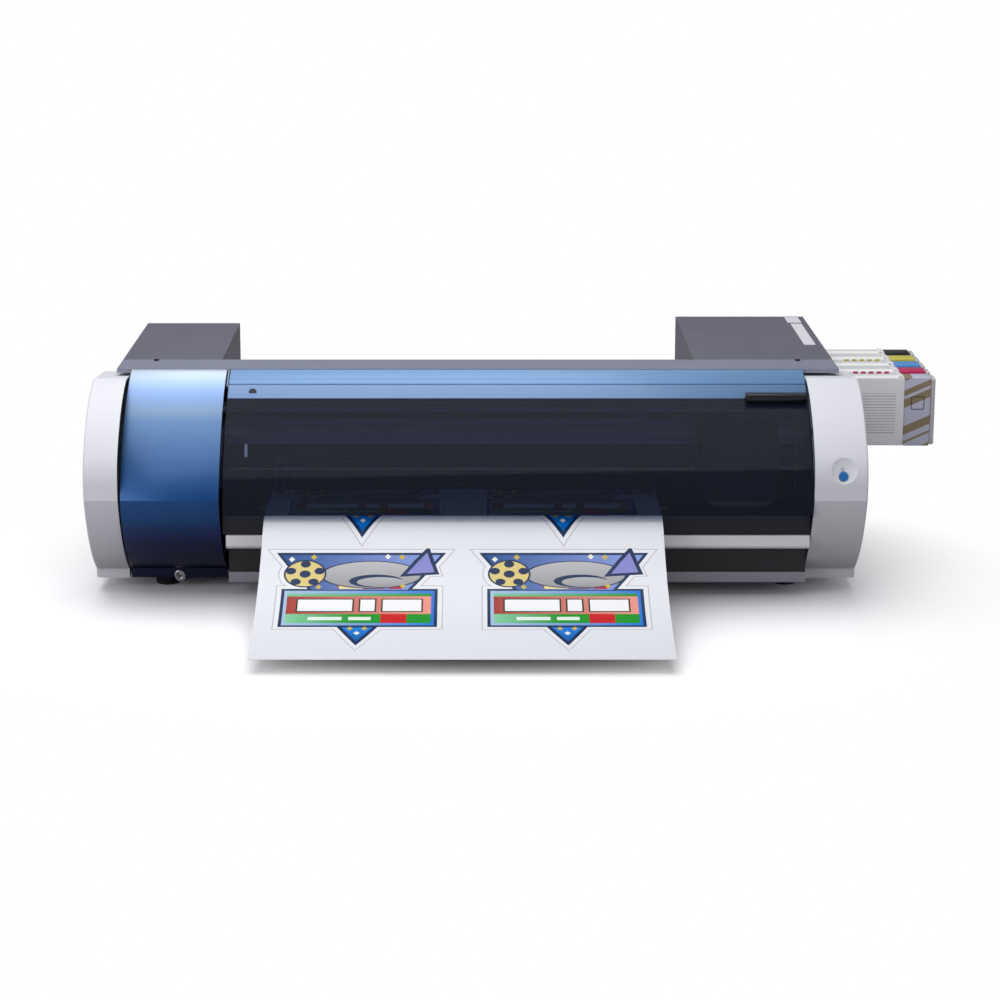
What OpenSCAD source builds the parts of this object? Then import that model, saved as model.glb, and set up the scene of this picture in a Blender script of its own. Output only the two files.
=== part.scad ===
// Desktop printer and contour cutter for self-adhesive vinyl.
// X runs along the carriage, Y to the back, Z up from the table.

/* [Body] */
// Width across the two side covers
body_w = 1009; // [840:1:1215]
// Depth from the front bulge to the back of the roll arms
body_d = 582; // [560:1:700]
// Height from the table to the top covers
body_h = 288; // [284:1:350]
// Height of the crease where the front panels lean furthest out
crease_z = 146; // [140:1:150]
// Height of the lower edge of the covers
cover_z = 17; // [14:1:20]

/* [Front panels] */
// Width of the left side cover
left_cover_w = 44; // [36:1:54]
// Width of the blue front cover
blue_w = 127; // [105:1:150]
// Width of the right side cover
right_cover_w = 68.5; // [60:0.5:84]
// Gap between neighbouring front panels
seam = 3; // [2:0.5:5]
// Wall of the moulded covers
cover_t = 3; // [2.4:0.1:4]
// Wall of the sheet-metal parts
sheet_t = 1.5; // [1:0.1:2]
// Opening of the front cover at its bottom edge, above the crease line
window_drop = 20; // [16:1:26]

/* [Top and rear boxes] */
// Depth of the strip in front of the rear boxes
strip_d = 68; // [60:1:80]
// Width of the left rear box
left_box_w = 134; // [115:1:150]
// Width of the right rear box
right_box_w = 188; // [175:1:215]
// How much shorter the left rear box is than the right one
left_box_short = 57; // [40:1:80]
// Distance of the left box's side in from the side cover's face
box_inset = 27; // [22:1:34]

/* [Media path] */
// Height of the platen's face
platen_z = 120; // [118:1:122]
// Width of the widest sheet
media_w = 515; // [430:1:518]
// Radius of the grit bands on the drive roller
grit_r = 9; // [8:0.5:9.5]
// Radius of the drive roller's shaft
grit_shaft_r = 5; // [4:0.25:5.5]
// Radius of the pinch wheels
pinch_r = 6; // [5:0.5:7]
// Reach of the printed sheet in front of the body
sheet_reach = 280; // [230:1:330]

/* [Carriages] */
// Width of the print carriage
print_w = 100; // [84:1:104]
// Width of the cutting carriage
cutter_w = 70; // [58:1:76]
// Height of the guide rail's section
rail_h = 12; // [10:0.5:14]
// Radius of the carriage belt pulleys
pulley_r = 8; // [6.5:0.5:9.5]

/* [Ink cartridges] */
// Thickness of a cartridge
cart_t = 30; // [25:1:36]
// Spacing of the cartridges
cart_pitch = 47; // [44:1:50]
// Height of a cartridge
cart_h = 97; // [80:1:108]
// Reach of a cartridge outside the side covers
cart_reach = 135; // [112:1:160]

/* [Controls] */
// Radius of the power button
button_r = 6; // [5:0.25:7]
// Radius of the dished recess round the button
dish_r = 21; // [18:0.5:24]

/* [Hidden] */

$fn = 48;
seat = 0.3;          // clearance of a fixed piece on its seat
run = 0.05;          // radial clearance of a shaft in its bore
left_x = -body_w / 2;
right_x = body_w / 2;
blue_x0 = left_x + left_cover_w + seam;
blue_x1 = blue_x0 + blue_w;
window_x0 = blue_x1 + 5;
right_x0 = right_x - right_cover_w;
window_x1 = right_x0 - 1;

// Front profile, as points (Y, Z)
upper_r = 250;
lower_r = 265;
strip_y = 161;
panel_top = [strip_y - 0.6, body_h - 0.5];
panel_bottom = [116, cover_z];
crease = [0, crease_z];
side_flat_z = crease_z + 39;
side_top_z = body_h - 6;
side_top = [146, side_top_z];
side_upper_r = 190;
side_lower_r = 195;
foot_z = cover_z + 16;
side_foot = [112, foot_z];
foot_y = side_foot[0] + 4;
strip_back = strip_y + strip_d;

// Pan, frames and platen
pan_z = cover_z + 3;
pan_top = pan_z + 2;
box_back = body_d - 7;
left_back = box_back - left_box_short;
frame_t = 3;
left_frame_x = blue_x0 + 8;
right_frame_x = right_x0 + 2;
platen_x0 = left_frame_x + frame_t + seat;
platen_x1 = right_frame_x - seat;
platen_y0 = 30;
platen_y1 = 190;
roller_y = 150;
roller_z = platen_z + 0.2 - grit_r;
box_x0 = left_x + box_inset;
box_x1 = right_x - box_inset + 6;

// Sheet: the left edge is fixed, the right edge follows the media width
sheet_x0 = blue_x1 + 57;
sheet_x1 = sheet_x0 + media_w;
film_t = 0.4;
film_z = platen_z + 0.5;

// Carriage way
rail_y = 132;
rail_z = 210;
beam_y = 140;
beam_z0 = 190;
beam_z1 = 240;
pulley_y = 130;
pulley_z = 231;
belt_t = 1.2;
belt_h = 6;
left_pulley_x = left_frame_x + 26;
right_pulley_x = right_frame_x - 16;
print_x = right_frame_x - 93;
cutter_x = blue_x1 - cutter_w / 2;

// Lever shaft behind the platen
cam_y = 200;
cam_z = 155;
cam_r = 4;
pinch_z = film_z + film_t + 0.2 + pinch_r;
left_pinch_x = sheet_x0 + 11;
right_pinch_x = sheet_x1 - 12;
lever_x = blue_x1 + 12;

// Front cover hinge
hinge_y = 131.5;
hinge_z = body_h - 18;
hinge_r = 1.5;

// Power button
button_x = right_x - 32;
button_z = crease_z + 39;

edge_step = 1.4;
wall_y = strip_back - cover_t - 0.6;
screw_xs = [box_x0 + 46, box_x1 - 48];
trim_start = 24.5;
feed_z = roller_z - 51;

band_xs = [left_pinch_x, sheet_x0 + 140, sheet_x0 + media_w / 2, sheet_x1 - 140, right_pinch_x];
head_z = platen_z + 3.5;
feed_x0 = left_frame_x - 22;
beam_back = 185;
lever_tip = [cam_y + 45, cam_z + 78];

belt_front = pulley_y - pulley_r - seat - belt_t;
beam_x0 = left_frame_x + frame_t + seat;
beam_x1 = right_frame_x - seat;

// Front cover bands, grip and lock
band_z = hinge_z - 12;
grip_z = band_z - 2;
grip_y = panel_y(grip_z) - 1;
lock_x = blue_x0 + blue_w / 2;
lock_r = 7.3;

// Rear: mains inlet, roll arms and media roll shaft
inlet_x = box_x0 + 45;
roll_y = 400;
roll_z = 150;
roll_r = 10;
bracket_x0 = sheet_x0 - 30;
bracket_x1 = sheet_x1 + 24;

// Sheet from the rollers, over the apron and down towards the table, as points (Y, Z)
drop_z = 18;
lip = [26, film_z];
mid = [-32, film_z - 27];
end = [-sheet_reach, drop_z];
function bend(a, c, b, n) = [for (i = [1 : n]) let (u = i / n)
  (1 - u) * (1 - u) * a + 2 * u * (1 - u) * c + u * u * b];
sheet_line = concat([[roller_y + 25, film_z], lip], bend(lip, [4, film_z], mid, 8),
  bend(mid, [-130, film_z - 88], end, 12));

// Cartridges, from the front one to the back one
cart_y0 = box_back - 45 - 4 * cart_pitch - cart_t;
cart_z = 150;
cart_x0 = box_x1 - 135;
cart_x1 = right_x + cart_reach - 7;

// The origin is below the middle of the whole part
mid_x = (left_x + right_x + cart_reach) / 2;
mid_y = (body_d - sheet_reach) / 2;

function arc_middle(p, q, r) =
  let (m = (p + q) / 2, d = q - p, h = sqrt(r * r - d * d / 4), u = [-d[1], d[0]] / norm(d))
  m + u * h;
function arc(p, q, r, n = 14) =
  let (c = arc_middle(p, q, r), a = atan2(p[1] - c[1], p[0] - c[0]),
       b = atan2(q[1] - c[1], q[0] - c[0]), s = (b - a + 540) % 360 - 180)
  [for (i = [0:n]) c + r * [cos(a + s * i / n), sin(a + s * i / n)]];
// Point moved in from the bulge line by t along the profile's normal
function inner_arc(p, q, r, t, n = 14) =
  let (c = arc_middle(p, q, r))
  [for (v = arc(p, q, r, n)) c + (v - c) * (r - t) / r];
// Unit normal into the body at the point p of such an arc
function inward(p, a, b, r) = (arc_middle(a, b, r) - p) / r;
// Corner p of an outline, moved in by t along the two normals that meet there
function corner(p, m, n, t) = p + t * (m + n) / (1 + m * n);
// The arcs of an inset profile are cut off where they meet at its corners
function above(pts, z) = [for (v = pts) if (v[1] > z + 0.01) v];
function below(pts, z) = [for (v = pts) if (v[1] < z - 0.01) v];
function panel_corner(t) = corner(crease, inward(crease, panel_top, crease, upper_r),
  inward(crease, crease, panel_bottom, lower_r), t);
function panel_line(t) = concat(
  above(inner_arc(panel_top, crease, upper_r, t), panel_corner(t)[1]), [panel_corner(t)],
  below(inner_arc(crease, panel_bottom, lower_r, t), panel_corner(t)[1]));
// Where the upper panel arc lies at height z
function panel_y(z) = let (c = arc_middle(panel_top, crease, upper_r))
  c[0] - sqrt(upper_r * upper_r - (z - c[1]) * (z - c[1]));
side_flat = [0, side_flat_z];
function side_high(t) = corner(side_flat, inward(side_flat, side_top, side_flat, side_upper_r),
  [1, 0], t);
function side_low(t) = corner(crease, inward(crease, crease, side_foot, side_lower_r), [1, 0], t);
function side_line(t) = concat(
  above(inner_arc(side_top, side_flat, side_upper_r, t), side_high(t)[1]),
  [side_high(t), side_low(t)],
  below(inner_arc(crease, side_foot, side_lower_r, t), side_low(t)[1]));

module slab(x0, x1) translate([x0, 0, 0]) rotate([90, 0, 90])
  linear_extrude(x1 - x0) children();
module block(a, b) translate(a) cube(b - a);
module rod_x(x0, x1, y, z, r) translate([x0, y, z]) rotate([0, 90, 0])
  cylinder(r = r, h = x1 - x0);
module rod_y(x, y0, y1, z, r) translate([x, y0, z]) rotate([-90, 0, 0])
  cylinder(r = r, h = y1 - y0);
module rod_z(x, y, z0, z1, r) translate([x, y, z0]) cylinder(r = r, h = z1 - z0);
module place() translate([-mid_x, -mid_y, 0]) children();

// Outline of a curved front panel, moved in by t, out to the line y = back
module panel_shape(t, back) polygon(concat([[back, panel_top[1] - t]], panel_line(t),
  [[back, panel_bottom[1]]]));
// Outline of a side cover, moved in by t, out to the line y = back
module side_shape(t, back) polygon(concat([[back, side_top_z - t]], side_line(t),
  [[foot_y + t, foot_z + t], [foot_y + t, cover_z + t], [back, cover_z + t]]));

// ---- Frame and outer covers ----
module base_pan() color("#5a5b63") difference() {
  union() {
    block([left_x + cover_t + 0.5, 121, pan_z], [right_x - cover_t - 0.5, wall_y, pan_top]);
    block([box_x0, 121, pan_z], [box_x1, left_back - 2, pan_top]);
    block([box_x0 + left_box_w + seat, left_back - 3, pan_z], [box_x1, box_back - 2, pan_top]);
    block([window_x0, 66, pan_z], [window_x1, 121.5, pan_top]);
    block([window_x0, 66, pan_z], [window_x1, 68, pan_top + 12]);
    block([box_x0 + left_box_w + seat, box_back - 4, pan_z],
      [box_x1 - right_box_w - seat, box_back - 2, pan_top + 10]);
  }
  for (x = [-180 : 90 : 180]) block([x, 250, pan_z - 1], [x + 50, 262, pan_top + 1]);
}
// Plate across the body, set in from the front covers, with the shaft bores
module frame_plate(x, inset) difference() {
  slab(x, x + frame_t) difference() {
    intersection() {
      panel_shape(inset, wall_y);
      translate([0, pan_top + seat]) square([strip_back, body_h]);
    }
    translate([70, cam_z + 30]) square([50, 40]);
    translate([60, pan_top + 20]) square([50, 30]);
    square([foot_y + cover_t + 1, foot_z + cover_t + 1]);
  }
  rod_x(x - 1, x + frame_t + 1, roller_y, roller_z, grit_shaft_r + 3 + run);
  rod_x(x - 1, x + frame_t + 1, cam_y, cam_z, cam_r + run);
}
module left_side_frame() color("#8b8d94") difference() {
  frame_plate(left_frame_x, 16);
  rod_x(left_frame_x - 1, left_frame_x + frame_t + 1, roller_y, feed_z, 12);
}
module right_side_frame() color("#8b8d94") difference() {
  union() {
    frame_plate(right_frame_x, 16);
    slab(right_frame_x, right_frame_x + frame_t) hull() {
      translate([hinge_y, hinge_z - 1]) circle(3);
      translate([hinge_y + 4, hinge_z - 24]) circle(5);
    }
  }
  rod_x(right_frame_x - 1, right_frame_x + frame_t + 1, hinge_y, hinge_z, hinge_r + run);
}
// Moulded side cover, open on its inner side, with a stepped outer edge
module cover_shell(x0, x1, t0, t1) difference() {
  union() {
    slab(x0 + t0, x1 - t1) side_shape(0, strip_back);
    if (t0 > 0) slab(x0, x0 + t0) side_shape(t0 * 0.5, strip_back - 1);
    if (t1 > 0) slab(x1 - t1, x1) side_shape(t1 * 0.5, strip_back - 1);
  }
  slab(x0 + (t0 > 0 ? cover_t : -1), x1 - (t1 > 0 ? cover_t : -1)) side_shape(cover_t, strip_back - cover_t);
  block([box_x0 - seat, wall_y, cover_z + cover_t], [box_x1 + seat, strip_back + 1, side_top_z - cover_t]);
}
module left_side_cover() color("#dcdce4")
  cover_shell(left_x, left_x + left_cover_w, edge_step, 0);
module right_side_cover() color("#dcdce4") difference() {
  union() {
    cover_shell(right_x0, right_x, 0, edge_step);
    intersection() {
      rod_y(button_x, 1, 15, button_z, dish_r + 2.4);
      slab(right_x0, right_x) side_shape(0.5, strip_back);
    }
  }
  rod_y(button_x, -4, 3.5, button_z, dish_r);
  rod_y(button_x, -4, 16, button_z - 8, button_r + 0.3);
}
module top_cover() color("#74747f") difference() {
  union() {
    block([box_x0, strip_y, body_h - sheet_t], [box_x1, strip_back, body_h]);
    block([box_x0, strip_y, side_top_z + 0.6], [box_x1, strip_y + sheet_t, body_h]);
    block([box_x0, strip_y, side_top_z + 0.6], [box_x0 + sheet_t, strip_back, body_h]);
    block([box_x1 - sheet_t, strip_y, side_top_z + 0.6], [box_x1, strip_back, body_h]);
    slab(blue_x1 + 1.6, blue_x1 + 3.6) hull() {
      translate([hinge_y, hinge_z]) circle(3.4);
      translate([strip_y, body_h - 16]) square([sheet_t, 15]);
      translate([hinge_y + 14, hinge_z]) circle(2);
    }
  }
  rod_x(blue_x1, blue_x1 + 4, hinge_y, hinge_z, hinge_r + run);
  for (x = screw_xs) rod_z(x, strip_back - 7, body_h - 3, body_h + 1, 2.2);
}
// Fixed strip above the front cover, with a flange on the top cover's skirt
module blue_trim() color("#78a5d6") slab(window_x0, window_x1) {
  intersection() {
    cover_strip(cover_t);
    translate([strip_y - trim_start, body_h - 40]) square([trim_start, 40]);
  }
  translate([strip_y - seat - 2, body_h - 16]) square([2, 13.5]);
}
module box_shell(x0, x1, back) difference() {
  block([x0, strip_back + seat, pan_top + seat], [x1, back, body_h]);
  block([x0 + sheet_t, strip_back - 1, pan_top - 1], [x1 - sheet_t, back - sheet_t, body_h - sheet_t]);
}
module left_rear_box() color("#6b6b76") difference() {
  box_shell(box_x0, box_x0 + left_box_w, left_back);
  for (k = [0 : 7]) block([box_x0 - 1, 300 + 16 * k, 150], [box_x0 + 4, 306 + 16 * k, 230]);
  block([box_x0 + 20, left_back - 5, 60], [box_x0 + 70, left_back + 1, 90]);
}
module right_rear_box() color("#6b6b76") difference() {
  box_shell(box_x1 - right_box_w, box_x1, box_back);
  block([box_x1 - 5, cart_y0 - 5, cart_z - 5],
    [box_x1 + 1, cart_y0 + 4 * cart_pitch + cart_t + 5, cart_z + cart_h + 5]);
}
module rear_panel() color("#4a4a52") difference() {
  block([box_x0 + left_box_w + seat, strip_back - sheet_t, pan_top + seat],
    [box_x1 - right_box_w - seat, strip_back, body_h - sheet_t - seat]);
  block([sheet_x0 - 14, strip_back - 5, platen_z - 8], [sheet_x1 + 14, strip_back + 5, platen_z + 22]);
  block([lever_x - 7, strip_back - 5, cam_z - 4], [lever_x + 7, strip_back + 5, body_h - 12]);
}

// ---- Media path ----
module platen() color("#2f3238") difference() {
  union() {
    block([platen_x0, platen_y0, platen_z - 3], [platen_x1, platen_y1, platen_z]);
    block([platen_x0, platen_y0, platen_z - 26], [platen_x1, platen_y0 + 3, platen_z]);
    block([platen_x0, platen_y1 - 3, platen_z - 24], [platen_x1, platen_y1, platen_z]);
  }
  for (x = band_xs) block([x - 14, roller_y - 11, platen_z - 4], [x + 14, roller_y + 11, platen_z + 1]);
  block([print_x - print_w / 2 - 0.5, 54.5, platen_z - 4], [print_x + print_w / 2 + 0.5, 125.5, platen_z + 1]);
  block([sheet_x0 - 10, 66, platen_z - 1], [sheet_x1 + 10, 74, platen_z + 1]);
  block([platen_x0 - 1, 0, 50], [blue_x1 + 1.5, 52, platen_z + 1]);
  block([window_x1, 0, 50], [platen_x1 + 1, 52, platen_z + 1]);
}
module cutting_strip() color("#d8d8d0")
  block([sheet_x0 - 9.7, 66.3, platen_z - 1], [sheet_x1 + 9.7, 73.7, platen_z]);
// Extruded lip that the printed sheet slides over
module front_apron() color("#c9cad2") slab(window_x0 + 1, window_x1 - 1) difference() {
  union() {
    translate([26, platen_z - 39]) square([14, 13 - seat]);
    translate([26 + 6.5, platen_z - 39]) circle(6.5);
    translate([33, platen_z - 39 - 6.5]) square([38, 3]);
  }
  translate([26 + 6.5, platen_z - 36]) circle(4);
}
module lower_front_panel() color("#26272c") slab(window_x0 + 1, window_x1 - 1) polygon([
  [64, pan_top + 12.5], [64, platen_z - 46], [66, platen_z - 46], [66, pan_top + 12.5]]);
module cap_station() color("#3a3b40") difference() {
  block([print_x - print_w / 2, 55, platen_z - 30], [print_x + print_w / 2, 125, head_z - seat]);
  block([print_x - 38, 60, platen_z - 4], [print_x + 38, 92, head_z + 1]);
}
module grit_roller() color("#9a9ba0") {
  rod_x(left_frame_x - 24, right_frame_x + frame_t + 4, roller_y, roller_z, grit_shaft_r);
  for (x = band_xs) rod_x(x - 12, x + 12, roller_y, roller_z, grit_r);
}
module roller_bushes() color("#b08d4a")
  for (x = [left_frame_x, right_frame_x]) difference() {
    rod_x(x - 0.1, x + frame_t + 0.1, roller_y, roller_z, grit_shaft_r + 3);
    rod_x(x - 2, x + frame_t + 2, roller_y, roller_z, grit_shaft_r + run);
  }
module pulley_x(x, z, r, shaft_r) difference() {
  union() {
    rod_x(x, x + 8, roller_y, z, r);
    rod_x(x - 1, x, roller_y, z, r + 1.6);
    rod_x(x + 8, x + 9, roller_y, z, r + 1.6);
  }
  rod_x(x - 2, x + 10, roller_y, z, shaft_r);
}
module feed_pulley() color("#3b3c40") pulley_x(feed_x0, roller_z, 20, grit_shaft_r);
module feed_motor_pulley() color("#b7a15a") {
  pulley_x(feed_x0, feed_z, 8, 2.5);
  rod_x(feed_x0 - 1, left_frame_x + frame_t + 4, roller_y, feed_z, 2.5);
}
module feed_belt() color("#1d1d1f") slab(feed_x0 + 1, feed_x0 + 7) difference() {
  hull() {
    translate([roller_y, roller_z]) circle(20 + seat + belt_t);
    translate([roller_y, feed_z]) circle(8 + seat + belt_t);
  }
  hull() {
    translate([roller_y, roller_z]) circle(20 + seat);
    translate([roller_y, feed_z]) circle(8 + seat);
  }
}
module feed_motor() color("#2c2d31") difference() {
  union() {
    block([left_frame_x + frame_t, roller_y - 21, feed_z - 21],
      [left_frame_x + frame_t + 40, roller_y + 21, feed_z + 21]);
    rod_x(left_frame_x + seat, left_frame_x + frame_t, roller_y, feed_z, 11);
  }
  rod_x(left_frame_x - 1, left_frame_x + frame_t + 8, roller_y, feed_z, 2.5 + run);
}
// Pinch wheel arm: hub on the lever shaft, and a fork round the wheel
module pinch_arm(x) difference() {
  union() {
    rod_x(x - 8, x + 8, cam_y, cam_z, cam_r + 4);
    for (side = [-1, 1]) slab(x + side * 6.5 - 1.5, x + side * 6.5 + 1.5) hull() {
      translate([roller_y, pinch_z]) circle(4);
      translate([cam_y, cam_z]) circle(cam_r + 3);
    }
  }
  rod_x(x - 20, x + 20, cam_y, cam_z, cam_r + run);
  rod_x(x - 20, x + 20, roller_y, pinch_z, 1.5 + run);
}
module pinch_wheel(x) {
  rod_x(x - 4, x + 4, roller_y, pinch_z, pinch_r);
  rod_x(x - 8, x + 8, roller_y, pinch_z, 1.5);
}
module left_pinch_arm() color("#c4c5ca") pinch_arm(left_pinch_x);
module left_pinch_wheel() color("#1b1b1d") pinch_wheel(left_pinch_x);
module right_pinch_arm() color("#c4c5ca") pinch_arm(right_pinch_x);
module right_pinch_wheel() color("#1b1b1d") pinch_wheel(right_pinch_x);
// Fork that slides along the shaft and steadies itself under the beam
module right_pinch_slider() color("#4c4e55") difference() {
  union() {
    for (side = [-1, 1]) block([right_pinch_x + side * 10 - 1.5, cam_y - 8, cam_z - 8],
      [right_pinch_x + side * 10 + 1.5, cam_y + 14, cam_z + 12]);
    block([right_pinch_x - 11.5, cam_y + 11, cam_z - 8], [right_pinch_x + 11.5, cam_y + 14, beam_z0 - seat]);
    block([right_pinch_x - 11.5, beam_back - 14, beam_z0 - seat - 3],
      [right_pinch_x + 11.5, cam_y + 14, beam_z0 - seat]);
  }
  rod_x(right_pinch_x - 20, right_pinch_x + 20, cam_y, cam_z, cam_r + run);
}
module loading_lever() color("#33353b") {
  rod_x(left_frame_x - 4, right_frame_x + frame_t + 4, cam_y, cam_z, cam_r);
  difference() {
    slab(lever_x - 4, lever_x + 4) {
      hull() {
        translate([cam_y, cam_z]) circle(cam_r + 5);
        translate([lever_tip[0], lever_tip[1]]) circle(5);
      }
      translate([lever_tip[0], lever_tip[1]]) circle(9);
    }
    rod_x(lever_x - 5, lever_x + 5, cam_y, cam_z, cam_r - 0.5);
  }
}

// ---- Carriage way ----
module carriage_beam() color("#8f9199") difference() {
  union() {
    block([beam_x0, beam_y, beam_z0], [beam_x1, beam_y + 3, beam_z1]);
    block([beam_x0, beam_y, beam_z0], [beam_x1, beam_back, beam_z0 + 3]);
    block([beam_x0, beam_y, beam_z1 - 3], [beam_x1, beam_back, beam_z1]);
  }
  block([beam_x0 - 1, beam_y - 1, beam_z0 - 1], [left_pulley_x + 22, 152, pulley_z - 8]);
}
module guide_rail() color("#c6c8cc")
  block([left_pulley_x + 23, rail_y, rail_z - rail_h / 2], [beam_x1, beam_y, rail_z + rail_h / 2]);
// Shoe that wraps the rail, with running clearance above, below and in front
module rail_shoe(x0, x1) difference() {
  block([x0, 122, rail_z - 16], [x1, beam_y - 0.6, rail_z + 15]);
  block([x0 - 1, rail_y - run, rail_z - rail_h / 2 - run], [x1 + 1, beam_y + 1, rail_z + rail_h / 2 + run]);
}
module print_carriage() color("#2a2b30") difference() {
  union() {
    slab(print_x - print_w / 2, print_x + print_w / 2)
      polygon([[46, head_z + 10], [46, 180], [78, 224], [124, 224], [124, head_z + 10]]);
    rail_shoe(print_x - print_w / 2, print_x + print_w / 2);
    block([print_x - 12, 113, 220], [print_x + 12, belt_front - seat, pulley_z + 3]);
    block([print_x - 12, belt_front + belt_t + seat, 220], [print_x + 12, 125.6, pulley_z + 3]);
  }
  block([print_x - 40, 52, head_z], [print_x + 40, 100, head_z + 40]);
}
module print_head() color("#9c8f6a") {
  block([print_x - 36, 58, head_z], [print_x + 36, 94, head_z + 6]);
  block([print_x - 39.7, 52.3, head_z + 6], [print_x + 39.7, 99.7, head_z + 39.7]);
}
module cutting_carriage() color("#3c3e46") difference() {
  union() {
    slab(cutter_x - cutter_w / 2, cutter_x + cutter_w / 2)
      polygon([[58, 150], [58, 190], [82, 222], [124, 222], [124, 150]]);
    rail_shoe(cutter_x - cutter_w / 2, cutter_x + cutter_w / 2);
    rod_z(cutter_x, 70, 142, 200, 12);
  }
  rod_z(cutter_x, 70, 200.5, 240, 9.5);
  rod_z(cutter_x, 70, 130, 230, 7 + run);
}
module blade_holder() color("#c9b25c") {
  rod_z(cutter_x, 70, 133, 212, 7);
  rod_z(cutter_x, 70, 204, 214, 9);
  rod_z(cutter_x, 70, 128, 133, 4);
  translate([cutter_x, 70, film_z + film_t + 2.6]) cylinder(r1 = 0.6, r2 = 2.4, h = 128 - film_z - film_t - 2.6);
}
module carriage_motor() color("#2c2d31") difference() {
  union() {
    block([left_pulley_x - 21, pulley_y - 21, pulley_z - 54], [left_pulley_x + 21, pulley_y + 21, pulley_z - 9]);
    block([left_frame_x + frame_t, pulley_y - 21, pulley_z - 40], [left_pulley_x - 20, pulley_y + 21, pulley_z - 36]);
  }
  rod_z(left_pulley_x, pulley_y, pulley_z - 20, pulley_z, 2.5 + run);
}
module flat_pulley(x) difference() {
  union() {
    rod_z(x, pulley_y, pulley_z - 4, pulley_z + 4, pulley_r);
    rod_z(x, pulley_y, pulley_z - 5, pulley_z - 4, pulley_r + 1.6);
    rod_z(x, pulley_y, pulley_z + 4, pulley_z + 5, pulley_r + 1.6);
  }
  rod_z(x, pulley_y, pulley_z - 6, pulley_z + 6, 2.5);
}
module drive_pulley() color("#b7a15a") {
  flat_pulley(left_pulley_x);
  rod_z(left_pulley_x, pulley_y, pulley_z - 18, pulley_z + 5, 2.5);
}
module idler_pulley() color("#b7a15a") {
  flat_pulley(right_pulley_x);
  rod_z(right_pulley_x, pulley_y, pulley_z - 14, pulley_z + 5, 2.5);
}
module carriage_belt() color("#1d1d1f") translate([0, pulley_y, pulley_z - belt_h / 2])
  linear_extrude(belt_h) difference() {
    hull() for (x = [left_pulley_x, right_pulley_x]) translate([x, 0]) circle(pulley_r + seat + belt_t);
    hull() for (x = [left_pulley_x, right_pulley_x]) translate([x, 0]) circle(pulley_r + seat);
  }

// ---- Front covers ----
module blue_front_cover() color("#3f78b5") difference() {
  union() {
    slab(blue_x0, blue_x1) cover_strip(cover_t);
    for (x = [blue_x0, blue_x1 - 2]) slab(x, x + 2) cover_strip(12);
  }
  rod_y(lock_x, 90, 125, cover_z, lock_r + run);
}
// Strip of the front panel's outline, t deep, with no back
module cover_strip(t) difference() {
  panel_shape(0, panel_top[0]);
  panel_shape(t, panel_top[0] + 20);
  translate([-10, -20]) square([body_d, cover_z + 20]);
  translate([panel_bottom[0], -20]) square([90, cover_z + 34]);
}
module cover_lock() color("#b9bac0") difference() {
  rod_y(lock_x, 108, 121 - seat, cover_z, lock_r);
  rod_y(lock_x, 107, 116, cover_z, 3);
}
module cover_strip_between(z0, z1, t, y1) intersection() {
  difference() {
    panel_shape(0, panel_top[0]);
    panel_shape(t, panel_top[0] + 20);
  }
  translate([-5, z0]) square([y1 + 5, z1 - z0]);
}
module cover_window() color([0.1, 0.12, 0.16, 0.6]) slab(window_x0, window_x1)
  cover_strip_between(crease_z - window_drop, band_z, cover_t, 160);
module cover_band() color("#8db0d8") difference() {
  union() {
    slab(window_x0, window_x1) cover_strip_between(band_z, body_h - 12, cover_t, hinge_y - 2.4);
    for (x = [window_x0, window_x1 - 26]) slab(x, x + 26) hull() {
      translate([hinge_y, hinge_z]) circle(3.2);
      translate([hinge_y - 4, hinge_z - 3]) circle(1.5);
    }
  }
  for (x = [window_x0 - 1, window_x1 - 20]) rod_x(x, x + 21, hinge_y, hinge_z, hinge_r + run);
}
module hinge_pins() color("#c6c8cc") {
  rod_x(blue_x1 + 1.8, window_x0 + 20, hinge_y, hinge_z, hinge_r);
  rod_x(window_x1 - 19, right_frame_x + frame_t + 1, hinge_y, hinge_z, hinge_r);
}
module cover_grip() color("#101114") slab(window_x1 - 82, window_x1 - 1) difference() {
  union() {
    translate([grip_y, grip_z]) circle(6);
    translate([grip_y, grip_z - 6]) square([14, 12]);
  }
  panel_shape(0, 300);
}

// ---- Electronics and rear ----
module main_board() color("#2f6b3f") {
  block([box_x0 + 20, 250, pan_top + 12], [box_x0 + left_box_w - 14, left_back - 18, pan_top + 13.6]);
  for (x = [box_x0 + 26, box_x0 + left_box_w - 20], y = [258, left_back - 26])
    rod_z(x, y, pan_top, pan_top + 12, 3);
  block([box_x0 + 40, 300, pan_top + 13.6], [box_x0 + 70, 330, pan_top + 18]);
  block([box_x0 + 60, 380, pan_top + 13.6], [box_x0 + 90, 420, pan_top + 26]);
}
module power_supply() color("#a9abb2") {
  block([box_x0 + 12, 290, 120], [box_x0 + left_box_w - 8, 470, 180]);
  for (x = [box_x0 + 13, box_x0 + left_box_w - 11], y = [292, 464])
    block([x, y, pan_top], [x + 2, y + 5, 120]);
}
module power_inlet() color("#17181b") difference() {
  block([inlet_x - 24.7, left_back - 14, 60.3], [inlet_x + 24.7, left_back - seat, 89.7]);
  block([inlet_x - 16, left_back - 12, 64], [inlet_x + 4, left_back + 1, 86]);
  block([inlet_x + 9.7, left_back - 10, 63.7], [inlet_x + 21.3, left_back + 1, 86.3]);
}
module main_switch() color("#c2382c") intersection() {
  rod_x(inlet_x + 10, inlet_x + 21, left_back + 2, 75, 10.8);
  block([inlet_x + 10, left_back - 7, 64], [inlet_x + 21, left_back + 1.2, 86]);
}
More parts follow.
